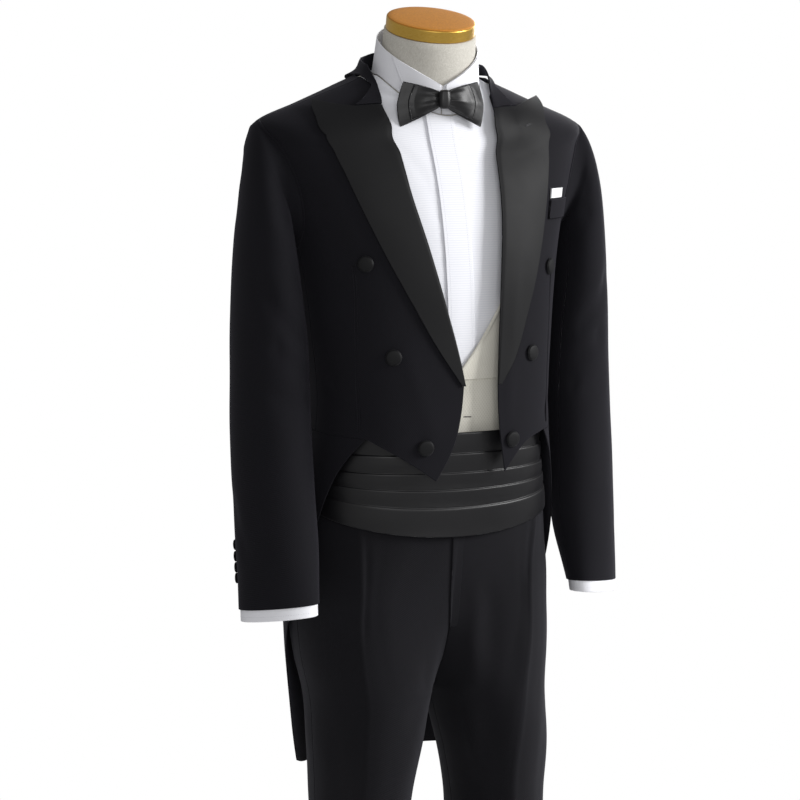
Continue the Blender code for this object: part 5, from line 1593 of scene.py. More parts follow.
    def sleeves(self) -> None:
        """Draws the sleeves inside the coat's, and the cuffs that show below its hem."""
        shape = SleeveShape()
        for name, side in SIDES:
            grid, way = shape.grid(side, 7, 5, 1)
            down = unit(grid[-1].mean(axis=0) - grid[-2].mean(axis=0))
            hem = grid[-1] - way[-1] * CUFF_IN
            reach = np.linspace(self.cuff_shows - self.cuff_tall, self.cuff_shows, 12)
            cuff = hem[None] + down * reach[:, None, None]
            out = shape.normals(cuff, side)
            tube = sewn(f"shirt_cuff_{name}_cloth", cuff, cuff - out * SATIN, around=True)
            self.add_cloth(tube, SHIRT_POPLIN, "folded", f"shirt_sleeve_{name}_cloth",
                           f"shirt_cuff_{name}")
            line = hem + down * (self.cuff_shows - 0.006)
            line = np.concatenate([line, line[:1]])
            ways = np.concatenate([out[-1], out[-1][:1]])
            self.add(stitched(f"cuff_stitches_{name}", [(line, ways)], 0.002, 0.0032, 0.0005), PALE_THREAD)
            grid, way = shape.grid(side, 5, 4, 1)
            head = self.surface.grid(raised(armhole(side, 5, 4))) + np.array([side * 0.0009, 0.0, 0.0])
            rows, ways_in = [1, 3, 5, 7, 8], np.array(SHIRT_SLEEVE_IN)[:, None, None]
            inside = grid[rows] - way[rows] * ways_in
            inside[0, :, 2] += SHIRT_HEAD_LIFT
            foot = grid[-1] - way[-1] * (CUFF_IN + SATIN / 2) + down * (CUFF_SHOWS - CUFF_TALL - SEAM)
            stops = np.concatenate([head[None], inside, foot[None]])
            tube_rows = [stops[:1]]
            for low, high in zip(stops, stops[1:]):
                tube_rows.append(np.stack([low + (high - low) * t for t in np.linspace(0, 1, 7)[1:]]))
            tube = np.concatenate(tube_rows)
            out = shape.normals(tube, side)
            sleeve = sewn(f"shirt_sleeve_{name}_cloth", tube, tube - out * self.cloth, around=True)
            self.add_cloth(sleeve, SHIRT_POPLIN, "hung", "shirt_front_cloth",
                           f"shirt_sleeve_{name}")

    def build(self) -> None:
        """Builds the shirt."""
        self.body()
        self.placket()
        self.collar()
        self.sleeves()


@dataclass
class Waistcoat(Assembly):
    """The cream waistcoat: two fronts with a deep opening, the back, and the band below."""

    cloth: float = FINE_CLOTH
    rough: float = 0.0002
    opening: Rows = OPENING
    foot: float = 1.1455
    surface: Surface = field(default_factory=lambda: over(torso(FORM_ROWS), WAISTCOAT_EASE))
    below: Surface = field(default_factory=lambda: over(torso(FORM_ROWS), BAND_EASE))

    def fronts(self) -> None:
        """Sews the fronts and the ribbed edge round the opening."""
        levels, reaches = (np.array([row[i] for row in self.opening]) for i in (0, 1))
        halves, = Table(TORSO_COLUMNS, FORM_ROWS).at(levels, "half")
        foot_angle = math.degrees(math.asin(WAISTCOAT_MIDDLE / halves[0]))
        shoulder = path(((1.512, 84), (1.484, 88)), 7, 6)
        for name, side in SIDES:
            away = (reaches if side > 0 else reaches - 2 * WAISTCOAT_MIDDLE) / halves
            opening = np.stack([levels, np.degrees(np.arcsin(away))], -1)
            start = (self.foot, foot_angle * side)
            inside = joined(
                path((start, opening[0]), 2, 6), path(np.concatenate([opening, shoulder[:1]]), 12, 6)
            )
            outside = joined(
                path(((self.foot, 88.0), (1.215, 88), (1.285, 88)), 4, 6),
                path(WAISTCOAT_ARM_FRONT, len(inside) - fine(4, 6) + 1),
            )
            places = sided(patch(inside, outside, path((inside[0], outside[0]), 7, 6), shoulder), side)
            self.sew(f"waistcoat_front_{name}", places, WAISTCOAT_MARCELLA, "hung", "shirt_front_cloth")
            line = path(sided(opening[:-1], side), 120) + np.array([0.0, 0.9 * side])
            points, ways = self.surface.strip(line, 0.0002)
            edge = bead(((0.0021, 0), (0.0018, 0.0007)), 0.001, -0.0008)
            self.add(ribbon(f"waistcoat_edge_{name}", points, ways, edge), WAISTCOAT_RIB)

    def back(self) -> None:
        """Sews the back."""
        left = joined(
            path(((self.foot, 88.0), (1.215, 88), (1.285, 88)), 3, 6),
            path(WAISTCOAT_ARM_BACK, 7, 6),
            path((WAISTCOAT_ARM_BACK[-1], (1.512, 90)), 3, 6),
        )
        right = behind(left)
        foot = path((left[0], right[0]), 11, 6)
        top = path((left[-1], (1.514, 180), right[-1]), 11, 6)
        self.sew(
            "waistcoat_back", patch(left, right, foot, top), WAISTCOAT_MARCELLA, "hung",
            "shirt_back_cloth", WAISTCOAT_BACK_OUT,
        )

    def band(self) -> None:
        """Sews the band that shows below the points, with its bar tack."""
        left = path(((WAISTCOAT_BAND_FOOT, -80.0), (WAISTCOAT_BAND_TOP, -80.0)), 4, 5)
        right = sided(left, -1.0)
        across = fine(15, 7)
        self.sew(
            "waistcoat_band", patch(left, right, across, across), WAISTCOAT_MARCELLA, "hung",
            "shirt_front_cloth", surface=self.below,
        )
        line = path(((1.0977, 2.6), (1.0973, 7)), 12)
        points, ways = self.below.strip(line, 0.0002)
        tack = bead(((0.0006, 0), (0.0004, 0.0004)), 0.0005, -0.0006)
        self.add(ribbon("waistcoat_bar_tack", points, ways, tack), BLACK_THREAD, slot="waistcoat_cotton")

    def build(self) -> None:
        """Builds the waistcoat."""
        self.fronts()
        self.back()
        self.band()


# Folds that both trouser legs hang in.
LEG_FOLDS = (
    Fold(((0.72, 132), (0.6, 128), (0.42, 126)), -0.0022, 0.018),
    Fold(((0.3, 40), (0.18, 60), (0.1, 64)), -0.0022, 0.014),
    Fold(((0.26, 250), (0.16, 270), (0.1, 285)), -0.0025, 0.016),
    Fold(((0.86, 300), (0.78, 285), (0.7, 262)), -0.0025, 0.018),
)


@dataclass
class Trousers(Assembly):
    """The pleated trousers with their pressed creases, the fly and the waistband."""

    rows: Rows = LEG_ROWS
    hips: Surface = field(default_factory=lambda: torso(HIPS_ROWS))
    near_folds: tuple[Fold, ...] = (
        Fold(((0.965, 84), (0.92, 84.5), (0.86, 85), (0.8, 86)), -0.0016, 0.0045),
        Fold(((0.8, 22), (0.74, 40), (0.7, 62)), -0.0022, 0.012),
        Fold(((0.76, 40), (0.66, 52), (0.5, 58)), 0.002, 0.016),
        *LEG_FOLDS,
    )
    far_folds: tuple[Fold, ...] = (
        Fold(((0.965, 84), (0.92, 84.5), (0.87, 85)), -0.0016, 0.0045),
        Fold(
            ((0.85, 78), (0.8191, 81), (0.7796, 86.2), (0.7216, 84.6), (0.64, 83.7), (0.52, 84)),
            0.0016, 0.01,
        ),
        Fold(
            ((0.9, 14), (0.8623, 20.6), (0.7982, 26.9), (0.7463, 37.6), (0.6987, 41.5), (0.6, 48)),
            0.0026, 0.011,
        ),
        Fold(((0.9, 26), (0.82, 40), (0.74, 56), (0.62, 62)), -0.0024, 0.014),
        *LEG_FOLDS,
    )

    def leg(self, crease: Rows) -> Surface:
        """Gives a leg's surface.

        Args:
            crease: rows of level, degrees outwards and height of its pressed pleat.

        Returns:
            0 is the inseam or the centre seam, 90 the crease, 180 the side, and on to 360 behind.
        """
        table, lines, hips = Table(LEG_COLUMNS, self.rows), np.array(crease, float), self.hips

        def point(level: Array, angle: Array) -> Array:
            """Works out a point.

            Args:
                level: its level.
                angle: its angle in degrees.

            Returns:
                The point.
            """
            centre, outer, inner, front, back, middle = table.at(
                level, "centre", "outer", "inner", "front", "back", "middle"
            )
            seam = np.degrees(np.arccos(np.clip((centre - SEAM) / inner, -1, 1)))
            line, tall = (blend(lines[:, 0], lines[:, i], level) for i in (1, 2))
            to_crease = seam + (90.0 + line - seam) * angle / 90.0
            to_side = 90.0 + line + (90.0 - line) * (angle - 90.0) / 90.0
            to_back = 180.0 + (180.0 - seam) * (angle - 180.0) / 180.0
            turn = np.radians(np.where(angle < 90.0, to_crease, np.where(angle < 180.0, to_side, to_back)))
            sine, cosine = np.sin(turn), np.cos(turn)
            reach = np.where(cosine > 0, inner, outer)
            depth = np.where(sine > 0, front + middle, back - middle)
            parts = (centre - reach * cosine, middle - depth * sine, level + 0.0 * sine)
            leg = np.stack(np.broadcast_arrays(*parts), -1)
            share = np.clip((level - HIPS_FROM) / (HIPS_FULL - HIPS_FROM), 0, 1)
            share = np.asarray(share**2 * (3 - 2 * share))[..., None]
            away = np.abs(angle - 90.0)
            ridge = tall * np.clip(1 - away / CREASE_SPREAD, 0, 1) ** 1.3
            ridge = ridge + 0.25 * tall * np.exp(-((away / 2.4) ** 2))
            together = leg * (1 - share) + hips.point(level, np.asarray(angle) / 2) * share
            return together + np.asarray(ridge)[..., None] * np.array([0.0, -1.0, 0.0])

        return Surface(point)

    def legs(self) -> None:
        """Sews each leg's front and back."""
        stops = np.array(TROUSER_LEVELS)
        levels = np.concatenate(
            [np.linspace(a, b, max(2, round((b - a) / 0.0085)) + 1)[:-1] for a, b in zip(stops, stops[1:])]
            + [stops[-1:]]
        )
        for name, side in SIDES:
            leg = self.leg(RIGHT_CREASE if side < 0 else LEFT_CREASE)
            folds = self.near_folds if side < 0 else self.far_folds
            for half, start in (("front", 0.0), ("back", 180.0)):
                angles = start + np.linspace(0.0, 180.0, 57)
                places = np.stack(np.meshgrid(levels, angles, indexing="ij"), -1)
                lift = lifted(leg, places, 0.0, folds, 0.0008)
                inside = np.minimum(places[..., 1] - start, start + 180.0 - places[..., 1])
                on_edge = np.clip(inside / 12.0, 0, 1)
                lift = lift * on_edge * np.clip((1.034 - places[..., 0]) / 0.03, 0, 1)
                outer, inner = leg.grid(places, lift), leg.grid(places, lift - self.cloth)
                on_seam = (places[..., 1] % 360.0 == 0) & (places[..., 0] > FORK_LEVEL)
                inner[..., 0] = np.where(on_seam, outer[..., 0], inner[..., 0])
                skins = []
                for grid in (outer, inner):
                    grid[..., 0] *= side
                    skins.append(pulled(pulled(grid, 0, SEAM / 2), 1, SEAM / 2))
                cloth = sewn(f"trouser_{half}_{name}_cloth", *skins)
                self.add_cloth(cloth, TROUSER_WOOL, "hung", "trouser_waistband_cloth",
                               f"trouser_{half}_{name}")

    def waistband(self) -> None:
        """Sews the waistband."""
        angles = np.arange(160) * 2.25
        places = np.stack(np.meshgrid(np.linspace(WAISTBAND_FROM, WAISTBAND_TOP, 9), angles, indexing="ij"), -1)
        outer = pulled(self.hips.grid(places), 0, SEAM / 2)
        inner = pulled(self.hips.grid(places, np.full(places.shape[:2], -WAISTBAND_THICK)), 0, SEAM / 2)
        band = sewn("trouser_waistband_cloth", outer, inner, around=True)
        self.add_cloth(band, TROUSER_WOOL, "folded", "shirt_front_cloth", "trouser_waistband")

    def fly(self) -> None:
        """Laps the fly over the centre seam."""
        right, left = self.leg(RIGHT_CREASE), self.leg(LEFT_CREASE)
        levels = np.linspace(0.822, 0.975, 40)
        lap = np.interp(levels, (0.822, 0.832, 0.858, 0.891, 0.935, 0.975), (0.0002, 0.9, 1.6, 2.6, 4.6, 5.6))
        rows, ways = [], []
        for level, far in zip(levels, lap):
            on_right = np.linspace(far, 0.0, 6)
            on_left = np.linspace(0.6, 7.0, 6)
            outs = (
                0.0022, 0.0025, 0.0024, 0.0022, 0.002, 0.0017, 0.0014, 0.0011, 0.0008, 0.0005, 0.0003, 0.0001,
            )
            row, way = [], []
            for angles, leg, side, out in ((on_right, right, -1.0, outs[:6]), (on_left, left, 1.0, outs[6:])):
                places = np.stack([np.full(len(angles), level), angles], -1)
                mirror = np.array([side, 1.0, 1.0])
                row.append(leg.grid(places, np.array(out)) * mirror)
                way.append(leg.normal(places[:, 0], places[:, 1]) * mirror)
            rows.append(np.concatenate(row))
            ways.append(np.concatenate(way))
        outer, ways = np.array(rows), np.array(ways)
        inner = outer - ways * 0.0013
        cloth = sewn("trouser_fly_cloth", outer, inner, edge=0.0008)
        self.add_cloth(cloth, TROUSER_WOOL, "folded", "trouser_front_left_cloth")

    def build(self) -> None:
        """Builds the trousers."""
        self.waistband()
        self.legs()
        self.fly()


@dataclass
class Cummerbund(Assembly):
    """The pleated satin sash, whose folds open upwards."""

    folds: tuple[float, ...] = SASH_FOLDS
    foot_rise: float = 0.036
    reach: float = 96.0
    step: float = 0.0013
    surface: Surface = field(default_factory=lambda: torso(SASH_ROWS))

    def build(self) -> None:
        """Folds the sash round the waist."""
        angles = np.arange(224) * 360.0 / 224
        aside = np.abs((angles + 180.0) % 360.0 - 180.0)
        behind = np.clip((aside - self.reach) / (180.0 - self.reach), 0, 1)
        behind = behind**2 * (3 - 2 * behind)
        first, last = self.folds[0], self.folds[-1]
        side_rise = np.sin(np.radians(np.minimum(aside, 104.0) / 1.15)) ** 2
        rows, stands = [], []
        for number, (high, low) in enumerate(zip(self.folds, self.folds[1:])):
            high, low = high - SASH_LIP / 2, low + SASH_LIP / 2
            for share, stand in (
                (0.0, -0.0002), (0.012, 0.35), (0.035, 0.85), (0.07, 1), (0.14, 0.99), (0.24, 0.95),
                (0.36, 0.92), (0.5, 0.84), (0.64, 0.7), (0.78, 0.46), (0.9, 0.2), (0.975, 0.02),
                (1.0, -0.0002),
            ):
                level = high + (low - high) * share
                sway = 0.0009 * np.sin(np.radians(angles * 3.0 + 70.0 * number)) * math.sin(math.pi * share)
                down = (first - level) / (first - last)
                front = level + sway + self.foot_rise * down**2 * side_rise
                strap = SASH_STRAP[0] + (SASH_STRAP[1] - SASH_STRAP[0]) * down
                rows.append(np.stack([front * (1 - behind) + strap * behind, angles], -1))
                puff = 1 + 0.18 * np.sin(np.radians(angles * 7.0 + 50.0 * number))
                stands.append(self.step * (stand * 1.25 * puff if share < 1.0 else 0.0) * (1 - 0.6 * behind))
        places, stands = np.array(rows)[::-1], np.array(stands)[::-1]
        outer = self.surface.grid(places, stands)
        inner = self.surface.grid(places, np.full(places.shape[:2], -CLOTH))
        sash = sewn("cummerbund_cloth", outer, inner, around=True, edge=0.0004)
        self.add_cloth(sash, SASH_SATIN, "folded", "trouser_waistband_cloth", "cummerbund")


@dataclass
class BowTie(Assembly):
    """The satin bow: two puffed wings in front, two flatter ones behind, and the knot."""

    span: float = 0.0535
    knot_wide: float = 0.0155
    knot_high: float = 0.0235
    knot_deep: float = 0.012
    tucked: float = 0.0022
    turn: float = -7.0
    at: tuple[float, float, float] = (-0.0125, -0.096, 1.4955)

    def placed(self, points: Array) -> Array:
        """Puts the bow in its place.

        Args:
            points: points about the bow's own middle.

        Returns:
            Them, turned with the neck and moved to its front.
        """
        turn = math.radians(self.turn)
        x = points[..., 0] * math.cos(turn) - points[..., 1] * math.sin(turn)
        y = points[..., 0] * math.sin(turn) + points[..., 1] * math.cos(turn)
        return np.stack([x, y, points[..., 2]], -1) + np.array(self.at)

    def wing(
        self, name: str, side: float, span: float, root: float, tip: float, thick: float, lean: float,
        forward: float,
    ) -> None:
        """Puffs one wing and gathers it at the knot.

        Args:
            name: the solid that it stands for.
            side: -1 on the wearer's right.
            span: how far its end is from the middle.
            root: half its height at the knot.
            tip: half its height at the end.
            thick: how far it puffs out.
            lean: how far its end hangs.
            forward: how far it stands in front.
        """
        along, across = np.meshgrid(np.linspace(0, 1, 49), np.linspace(-1, 1, 41), indexing="ij")
        reach = self.knot_wide / 2 - self.tucked + (span - self.knot_wide / 2 + self.tucked) * along
        half = root + (tip - root) * along**0.8
        puff = thick * (0.35 + 0.65 * np.sin(np.pi * np.minimum(1.0, along * 1.15 + 0.05)))
        x = reach + 0.004 * (1 - across**2) * along - 0.0045 * along * np.maximum(0.0, across)
        z = half * across - lean * along
        belly = puff * (1 - 0.75 * across**2)
        # Crimps that fan out of the knot and die away, then one slow ripple towards the end.
        gathers = np.cos(across * 9.5 + 0.8 * side) + 0.5 * np.cos(across * 17.0 + 1.0)
        belly = belly + 0.0007 * gathers * np.exp(-along * 3.2)
        belly = belly + 0.0005 * np.sin(along * 5.0 + across * 3.0) * along
        sweep = 0.0065 * along**2 - forward
        outer = np.stack([side * x, sweep - belly, z], -1)
        inner = np.stack([side * x, sweep + 0.35 * np.maximum(belly, 0.0004) + 0.001, z], -1)
        cloth = sewn(f"{name}_cloth", self.placed(outer), self.placed(inner), edge=0.0008)
        self.add_cloth(cloth, SASH_SATIN, "folded", "bow_knot_cloth", name)

    def build(self) -> None:
        """Ties the bow."""
        turns = np.radians(np.arange(72) * 5.0)
        rings = []
        for up in np.linspace(-1, 1, 25):
            swell = (0.82 + 0.18 * (1 - up**2)) * (1 - 0.3 * max(0.0, abs(up) - 0.86) / 0.14)
            gather = 1 + 0.035 * np.cos(9 * turns + 0.6 * up) * (0.4 + 0.6 * abs(up))
            x = self.knot_wide / 2 * swell * np.sign(np.cos(turns)) * np.abs(np.cos(turns)) ** 0.7
            y = -self.knot_deep / 2 * np.sin(turns) * swell * gather - 0.0085
            rings.append(self.placed(np.stack([x, y, np.full(72, up * self.knot_high / 2)], -1)))
        self.add(turned("bow_knot_cloth", np.stack(rings)), SASH_SATIN, "bow_knot")
        for name, side in SIDES:
            self.wing(f"bow_loop_{name}", side, self.span * 0.76, 0.0095, 0.0225, 0.0052, 0.003, 0.0048)
            self.wing(f"bow_wing_{name}", side, self.span, 0.0095, 0.0285, 0.0022, 0.006, -0.001)


# Lines that stand on the cloth, across and out: the dart's two pressed lips with the groove between
# them, the armhole's seam and the buttonhole.
DART_LIPS = (
    (-0.0022, 0), (-0.00121, 0.0005), (-0.000396, 0.0004), (0.0, -0.0003), (0.000396, 0.0004),
    (0.00121, 0.0005), (0.0022, 0), (0.0011, -0.0012), (-0.0011, -0.0012),
)
ARMHOLE_LIPS = bead(((0.0034, -0.0004), (0.0022, 0.0006)), 0.0009, -0.0016)
BUTTONHOLE = bead(((0.0013, 0), (0.0008, 0.0006)), 0.0001, -0.0015)


@dataclass
class Tailcoat(Assembly):
    """The open double-breasted tailcoat with its lapels, collar, sleeves, buttons and pocket."""

    surface: Surface = field(default_factory=lambda: torso(COAT_ROWS))
    button_radius: float = 0.0105
    sleeve_button_radius: float = 0.0068
    # From the hem to the lowest sleeve button and from one to the next, in rows of SLEEVE_ROWS.
    sleeve_button_rise: float = 0.48
    sleeve_button_pitch: float = 0.165
    near_folds: tuple[Fold, ...] = (
        Fold(((1.4, -62), (1.33, -58), (1.27, -50)), -0.0012, 0.012),
        Fold(((1.15, -78), (1.11, -60), (1.09, -40)), -0.0012, 0.01),
        Fold(((1.2, -30), (1.12, -22), (1.06, -14)), 0.001, 0.012),
    )
    far_folds: tuple[Fold, ...] = (
        Fold(((1.4, 62), (1.32, 58), (1.25, 50)), -0.0012, 0.013),
        Fold(((1.15, 78), (1.11, 60), (1.09, 40)), -0.0012, 0.01),
        Fold(((1.3, 24), (1.18, 22), (1.08, 21)), 0.001, 0.01),
    )
    tail_folds: tuple[Fold, ...] = (
        Fold(((1.06, 168), (0.9, 164), (0.68, 160)), -0.002, 0.018),
        Fold(((1.05, 130), (0.92, 128), (0.7, 126)), 0.0018, 0.018),
    )

    def fronts(self) -> None:
        """Sews each front, its lapel, its buttons and its dart."""
        times, outer_rows = 6, 16
        for (name, side), edge in zip(SIDES, (RIGHT_EDGE, LEFT_EDGE)):
            right = joined(
                path(SIDE_SEAM, 7, times), path(ARMHOLE_FRONT, 7, times),
                path(SHOULDER_SEAM, 4, times),
            )
            left = joined(path(edge["tip"], 4, times), path(edge["roll"], outer_rows - 3, times))
            bottom = joined(path(edge["foot"], 5, times), path(WAIST_FRONT, 4, times))
            top = path((left[-1], (NECK_LEVEL, 88.0)), len(bottom))
            folds = self.near_folds if side < 0 else self.far_folds
            places = sided(patch(left, right, bottom, top), side)
            self.sew(f"coat_front_{name}", places, COAT_WOOL, "hung", "form_jersey_cover", folds=folds)
            self.lapel(name, side, edge, folds)
            for number, place in enumerate(edge["buttons"], 1):
                level, angle = place[0], place[1] * side
                centre, way = self.surface.point(level, angle), self.surface.normal(level, angle)
                rings = button_rings(centre, way, self.button_radius, BUTTON_RISE)
                self.add(turned(f"covered_button_{name}_{number}", rings), FACING_SATIN,
                         f"front_button_{name}_{number}")
            dart = sided(((1.29, 48.2), (1.2696, 48.4), (1.2039, 50.3), (1.1419, 51.9), (1.083, 50.8)), side)
            lift = float(np.mean([f.lift(self.surface.grid(dart), self.surface).mean() for f in folds]))
            points, ways = self.surface.strip(path(dart, 90), 0.0001 + lift)
            self.add(ribbon(f"front_dart_{name}", points, ways, DART_LIPS), COAT_WOOL)

    def lapel(self, name: str, side: float, edge: dict[str, Any], folds: tuple[Fold, ...]) -> None:
        """Sews a peaked lapel.

        Args:
            name: the wearer's side.
            side: -1 on the wearer's right.
            edge: the front's edges.
            folds: the folds of the front that it lies on.
        """
        times, rows, peak_rows, peak_columns, columns = 6, 11, 6, 4, 4
        start = edge["gorge"][0]
        below = tuple(place for place in edge["roll"] if place[0] < start[0])
        roll = path(below + (start,), rows + peak_rows - 1, times)
        roll[:, 1] -= LAPEL_ROLLS_PAST
        rim = joined(path(edge["lapel"], rows, times), path(edge["crest"], peak_rows, times))
        gorge = joined(path(edge["gorge"][:2], columns, times), path(edge["gorge"][1:], peak_columns, times))
        gorge[0], gorge[-1] = roll[-1], rim[-1]
        places = patch(roll, rim, path((roll[0], rim[0]), len(gorge)), gorge)
        low = fine(rows, times) - 1
        rise = np.clip((np.arange(len(rim)) - low) / (len(rim) - 1 - low), 0, 1)
        share = np.linspace(0, 1, len(gorge))[None, :]
        stand = edge["peak"] * rise[:, None] * share**2
        roll_over = -0.001 * np.exp(-((share / 0.05) ** 2))
        self.sew(
            f"lapel_{name}", sided(places, side), FACING_SATIN, "folded", f"coat_front_{name}_cloth",
            LAPEL_OUT + stand + roll_over, folds, f"lapel_{name}_satin", thick=SATIN,
        )

    def buttonhole(self) -> None:
        """Works the buttonhole on the wearer's left lapel."""
        line = path(((1.4806, 33.2), (1.4839, 43)), 20)
        out = LAPEL_OUT + 0.0012 + rumple(self.surface.grid(line), 0.0004, 0.045)
        points, ways = self.surface.strip(line, out)
        self.add(ribbon("lapel_buttonhole", points, ways, BUTTONHOLE), BLACK_THREAD)

    def body(self) -> None:
        """Sews the side bodies, the backs that run on into the tails, and the skirts."""
        times = 6
        for name, side in SIDES:
            under = path(ARMHOLE_UNDER, 7, times)[::-1]
            front, behind = path(SIDE_SEAM, 7, times), path(SIDE_BACK_SEAM, 7, times)
            places = sided(patch(front, behind, path(WAIST_SIDE, 7, times), under), side)
            self.sew(f"coat_side_{name}", places, COAT_WOOL, "hung", "form_jersey_cover")
            seam = joined(
                path(TAIL_SEAM, 8, times), path(SIDE_BACK_SEAM, 7, times),
                path(ARMHOLE_BACK, 7, times)[::-1], path(SHOULDER_SEAM, 4, times),
            )
            stops = ((TAIL_END, 8), (COAT_WAIST, 7), (1.345, 7), (1.478, 4), (NECK_LEVEL, 0))
            middle = joined(
                *(path(((a, 180.0), (b, 180.0)), n, times) for (a, n), (b, _) in zip(stops, stops[1:]))
            )
            places = patch(seam, middle, path((seam[0], middle[0]), 6, times), path(NECK_EDGE_BACK, 6, times))
            folds = tuple(
                Fold(tuple((l, a * side) for l, a in f.places), f.depth, f.width) for f in self.tail_folds
            )
            self.sew(
                f"coat_back_{name}", sided(places, side), COAT_WOOL, "hung", "form_jersey_cover",
                folds=folds[:1],
            )
            edge, behind = path(SKIRT_EDGE, 11, times), path(TAIL_SEAM, 11, times)
            waist = joined(path(WAIST_FRONT, 4, times), path(WAIST_SIDE, 7, times))
            places = sided(patch(edge, behind, path(TAIL_HEM, len(waist)), waist), side)
            self.sew(
                f"coat_skirt_{name}", places, COAT_WOOL, "hung", f"coat_side_{name}_cloth",
                folds=folds[1:],
            )

    def collar(self) -> None:
        """Folds the collar round the neck, to meet each lapel at the gorge."""
        times, halves, ends = 6, [], []
        for (_, side), edge in zip(SIDES, (RIGHT_EDGE, LEFT_EDGE)):
            end = path(edge["gorge"][:2], 4, times) + np.array(COLLAR_FROM_LAPEL)
            lines = []
            for start, key, back in ((end[0], "fold", COLLAR_FOLD_BACK), (end[-1], "leaf", COLLAR_EDGE_BACK)):
                lines.append(
                    joined(
                        path((tuple(start),) + edge[key], 5, times),
                        path((edge[key][-1],) + back, 9, times),
                    )
                )
            halves.append([sided(line, side) for line in lines])
            ends.append(sided(end, side))
        (right_fold, right_rim), (left_fold, left_rim) = halves
        full_turn = np.array([0.0, 360.0])
        fold = joined(right_fold, (left_fold - full_turn)[::-1])
        rim = joined(right_rim, (left_rim - full_turn)[::-1])
        places = patch(fold, rim, ends[0], ends[1] - full_turn)
        share = np.linspace(0, 1, places.shape[1])[None, :]
        stand = COLLAR_EDGE_OUT * share**2 - 0.0006 * np.exp(-((share / 0.06) ** 2))
        self.sew(
            "coat_collar", places, COAT_WOOL, "folded", "coat_back_left_cloth", COLLAR_OUT + stand,
            thick=SATIN,
        )

    def sleeves(self) -> None:
        """Draws each sleeve in two halves, folds it at the elbow and buttons its hem."""
        shape, times, hem = SleeveShape(), 8, len(SLEEVE_ROWS)
        for name, side in SIDES:
            grid, way = shape.grid(side, 7, 6, times)

            def at(row: Array, column: Array) -> Array:
                """Works out a point of the sleeve.

                Args:
                    row: its ring.
                    column: its column, of six to each gap.

                Returns:
                    The point.
                """
                r = np.clip(np.asarray(row) * times, 0, len(grid) - 1.001)
                c = np.asarray(column) * 6.0
                r0, c0 = r.astype(int), c.astype(int)
                s, t = (r - r0)[..., None], (c - c0)[..., None]
                wrap = grid.shape[1]
                low = grid[r0, c0 % wrap] * (1 - t) + grid[r0, (c0 + 1) % wrap] * t
                high = grid[r0 + 1, c0 % wrap] * (1 - t) + grid[r0 + 1, (c0 + 1) % wrap] * t
                return low * (1 - s) + high * s

            surface = Surface(at)
            folds = (
                Fold(((5.2, 1), (5.7, 3), (6, 5.5)), -0.003, 0.011),
                Fold(((6.1, 2), (6.4, 4), (6.5, 6.2)), -0.0026, 0.01),
                Fold(((6.9, 1), (7, 3), (6.8, 5.5)), -0.0022, 0.01),
                Fold(((2.2, 17), (3.4, 16.2), (4.6, 15.5)), -0.0022, 0.012),
                Fold(((1.2, 3.6), (2.4, 4), (3.6, 4.4)), -0.002, 0.011),
                Fold(((8.2, 15), (8.8, 16), (9.3, 17)), -0.0018, 0.01),
            )
            lift = rumple(grid, 0.0006, 0.045)
            for fold in folds:
                lift = lift + fold.lift(grid, surface)
            rows = np.arange(len(grid)) / times
            lift = lift * (np.clip(rows, 0, 1) * np.clip((hem - rows) / 0.6, 0, 1))[:, None]
            grid = grid + way * lift[..., None]
            inner = grid - way * self.cloth
            around = grid.shape[1]
            top = np.arange(UNDER_SLEEVE_BACK * 6, TOP_SLEEVE_FRONT * 6 + around + 1) % around
            under = np.arange(TOP_SLEEVE_FRONT * 6, UNDER_SLEEVE_BACK * 6 + 1)
            for half, columns in (("top", top), ("under", under)):
                outer_half, inner_half = (pulled(g[:, columns], 1, SEAM / 2) for g in (grid, inner))
                cloth = sewn(f"sleeve_{half}_{name}_cloth", outer_half, inner_half)
                self.add_cloth(cloth, COAT_WOOL, "hung", f"coat_front_{name}_cloth",
                               f"sleeve_{half}_{name}")
            ring = np.concatenate([armhole(side, 7, 6), armhole(side, 7, 6)[:1]])
            points, ways = self.surface.strip(ring, 0.0004)
            self.add(ribbon(f"armhole_seam_{name}", points, ways, ARMHOLE_LIPS), COAT_WOOL)
            for number in range(4):
                row = (hem - self.sleeve_button_rise - number * self.sleeve_button_pitch) * times
                low, part = int(row), row - int(row)
                column = (UNDER_SLEEVE_BACK + 1) * 6
                centre = grid[low, column] * (1 - part) + grid[low + 1, column] * part
                outward = way[low, column] * (1 - part) + way[low + 1, column] * part
                rings = button_rings(centre, outward, self.sleeve_button_radius, BUTTON_RISE)
                self.add(turned(f"cuff_button_{name}_{number + 1}", rings), FACING_SATIN,
                         f"sleeve_button_{name}_{number + 1}")

    def pocket(self) -> None:
        """Sets the welt on the wearer's left breast, with the folded square above it."""
        low, high, near, far = 1.3435, 1.37, 41.0, 58.0
        left = path(((low, near), (high, near)), 19)
        right = path(((low + 0.002, far), (high + 0.002, far)), 19)
        self.sew(
            "breast_welt", patch(left, right, 29, 29), COAT_WOOL, "laid", "coat_front_left_cloth",
            WELT_OUT, thick=0.0022, rough=0.0003,
        )
        foot, head, far = high + 0.0012, high + 0.0155, 50.5
        left = path(((foot, near), (head, near)), 17)
        right = path(((foot + 0.001, far), (head + 0.0005, far)), 17)
        folds = (Fold(((foot, 45), (head, 46.5)), -0.0006, 0.0015, fades=False),)
        self.sew(
            "pocket_square", patch(left, right, 25, 25), SQUARE_LINEN, "folded", "breast_welt_cloth",
            0.0026, folds, "pocket_square_linen", thick=0.0018, rough=0.0003,
        )

    def build(self) -> None:
        """Builds the coat."""
        self.body()
        self.fronts()
        self.buttonhole()
        self.collar()
        self.sleeves()
        self.pocket()


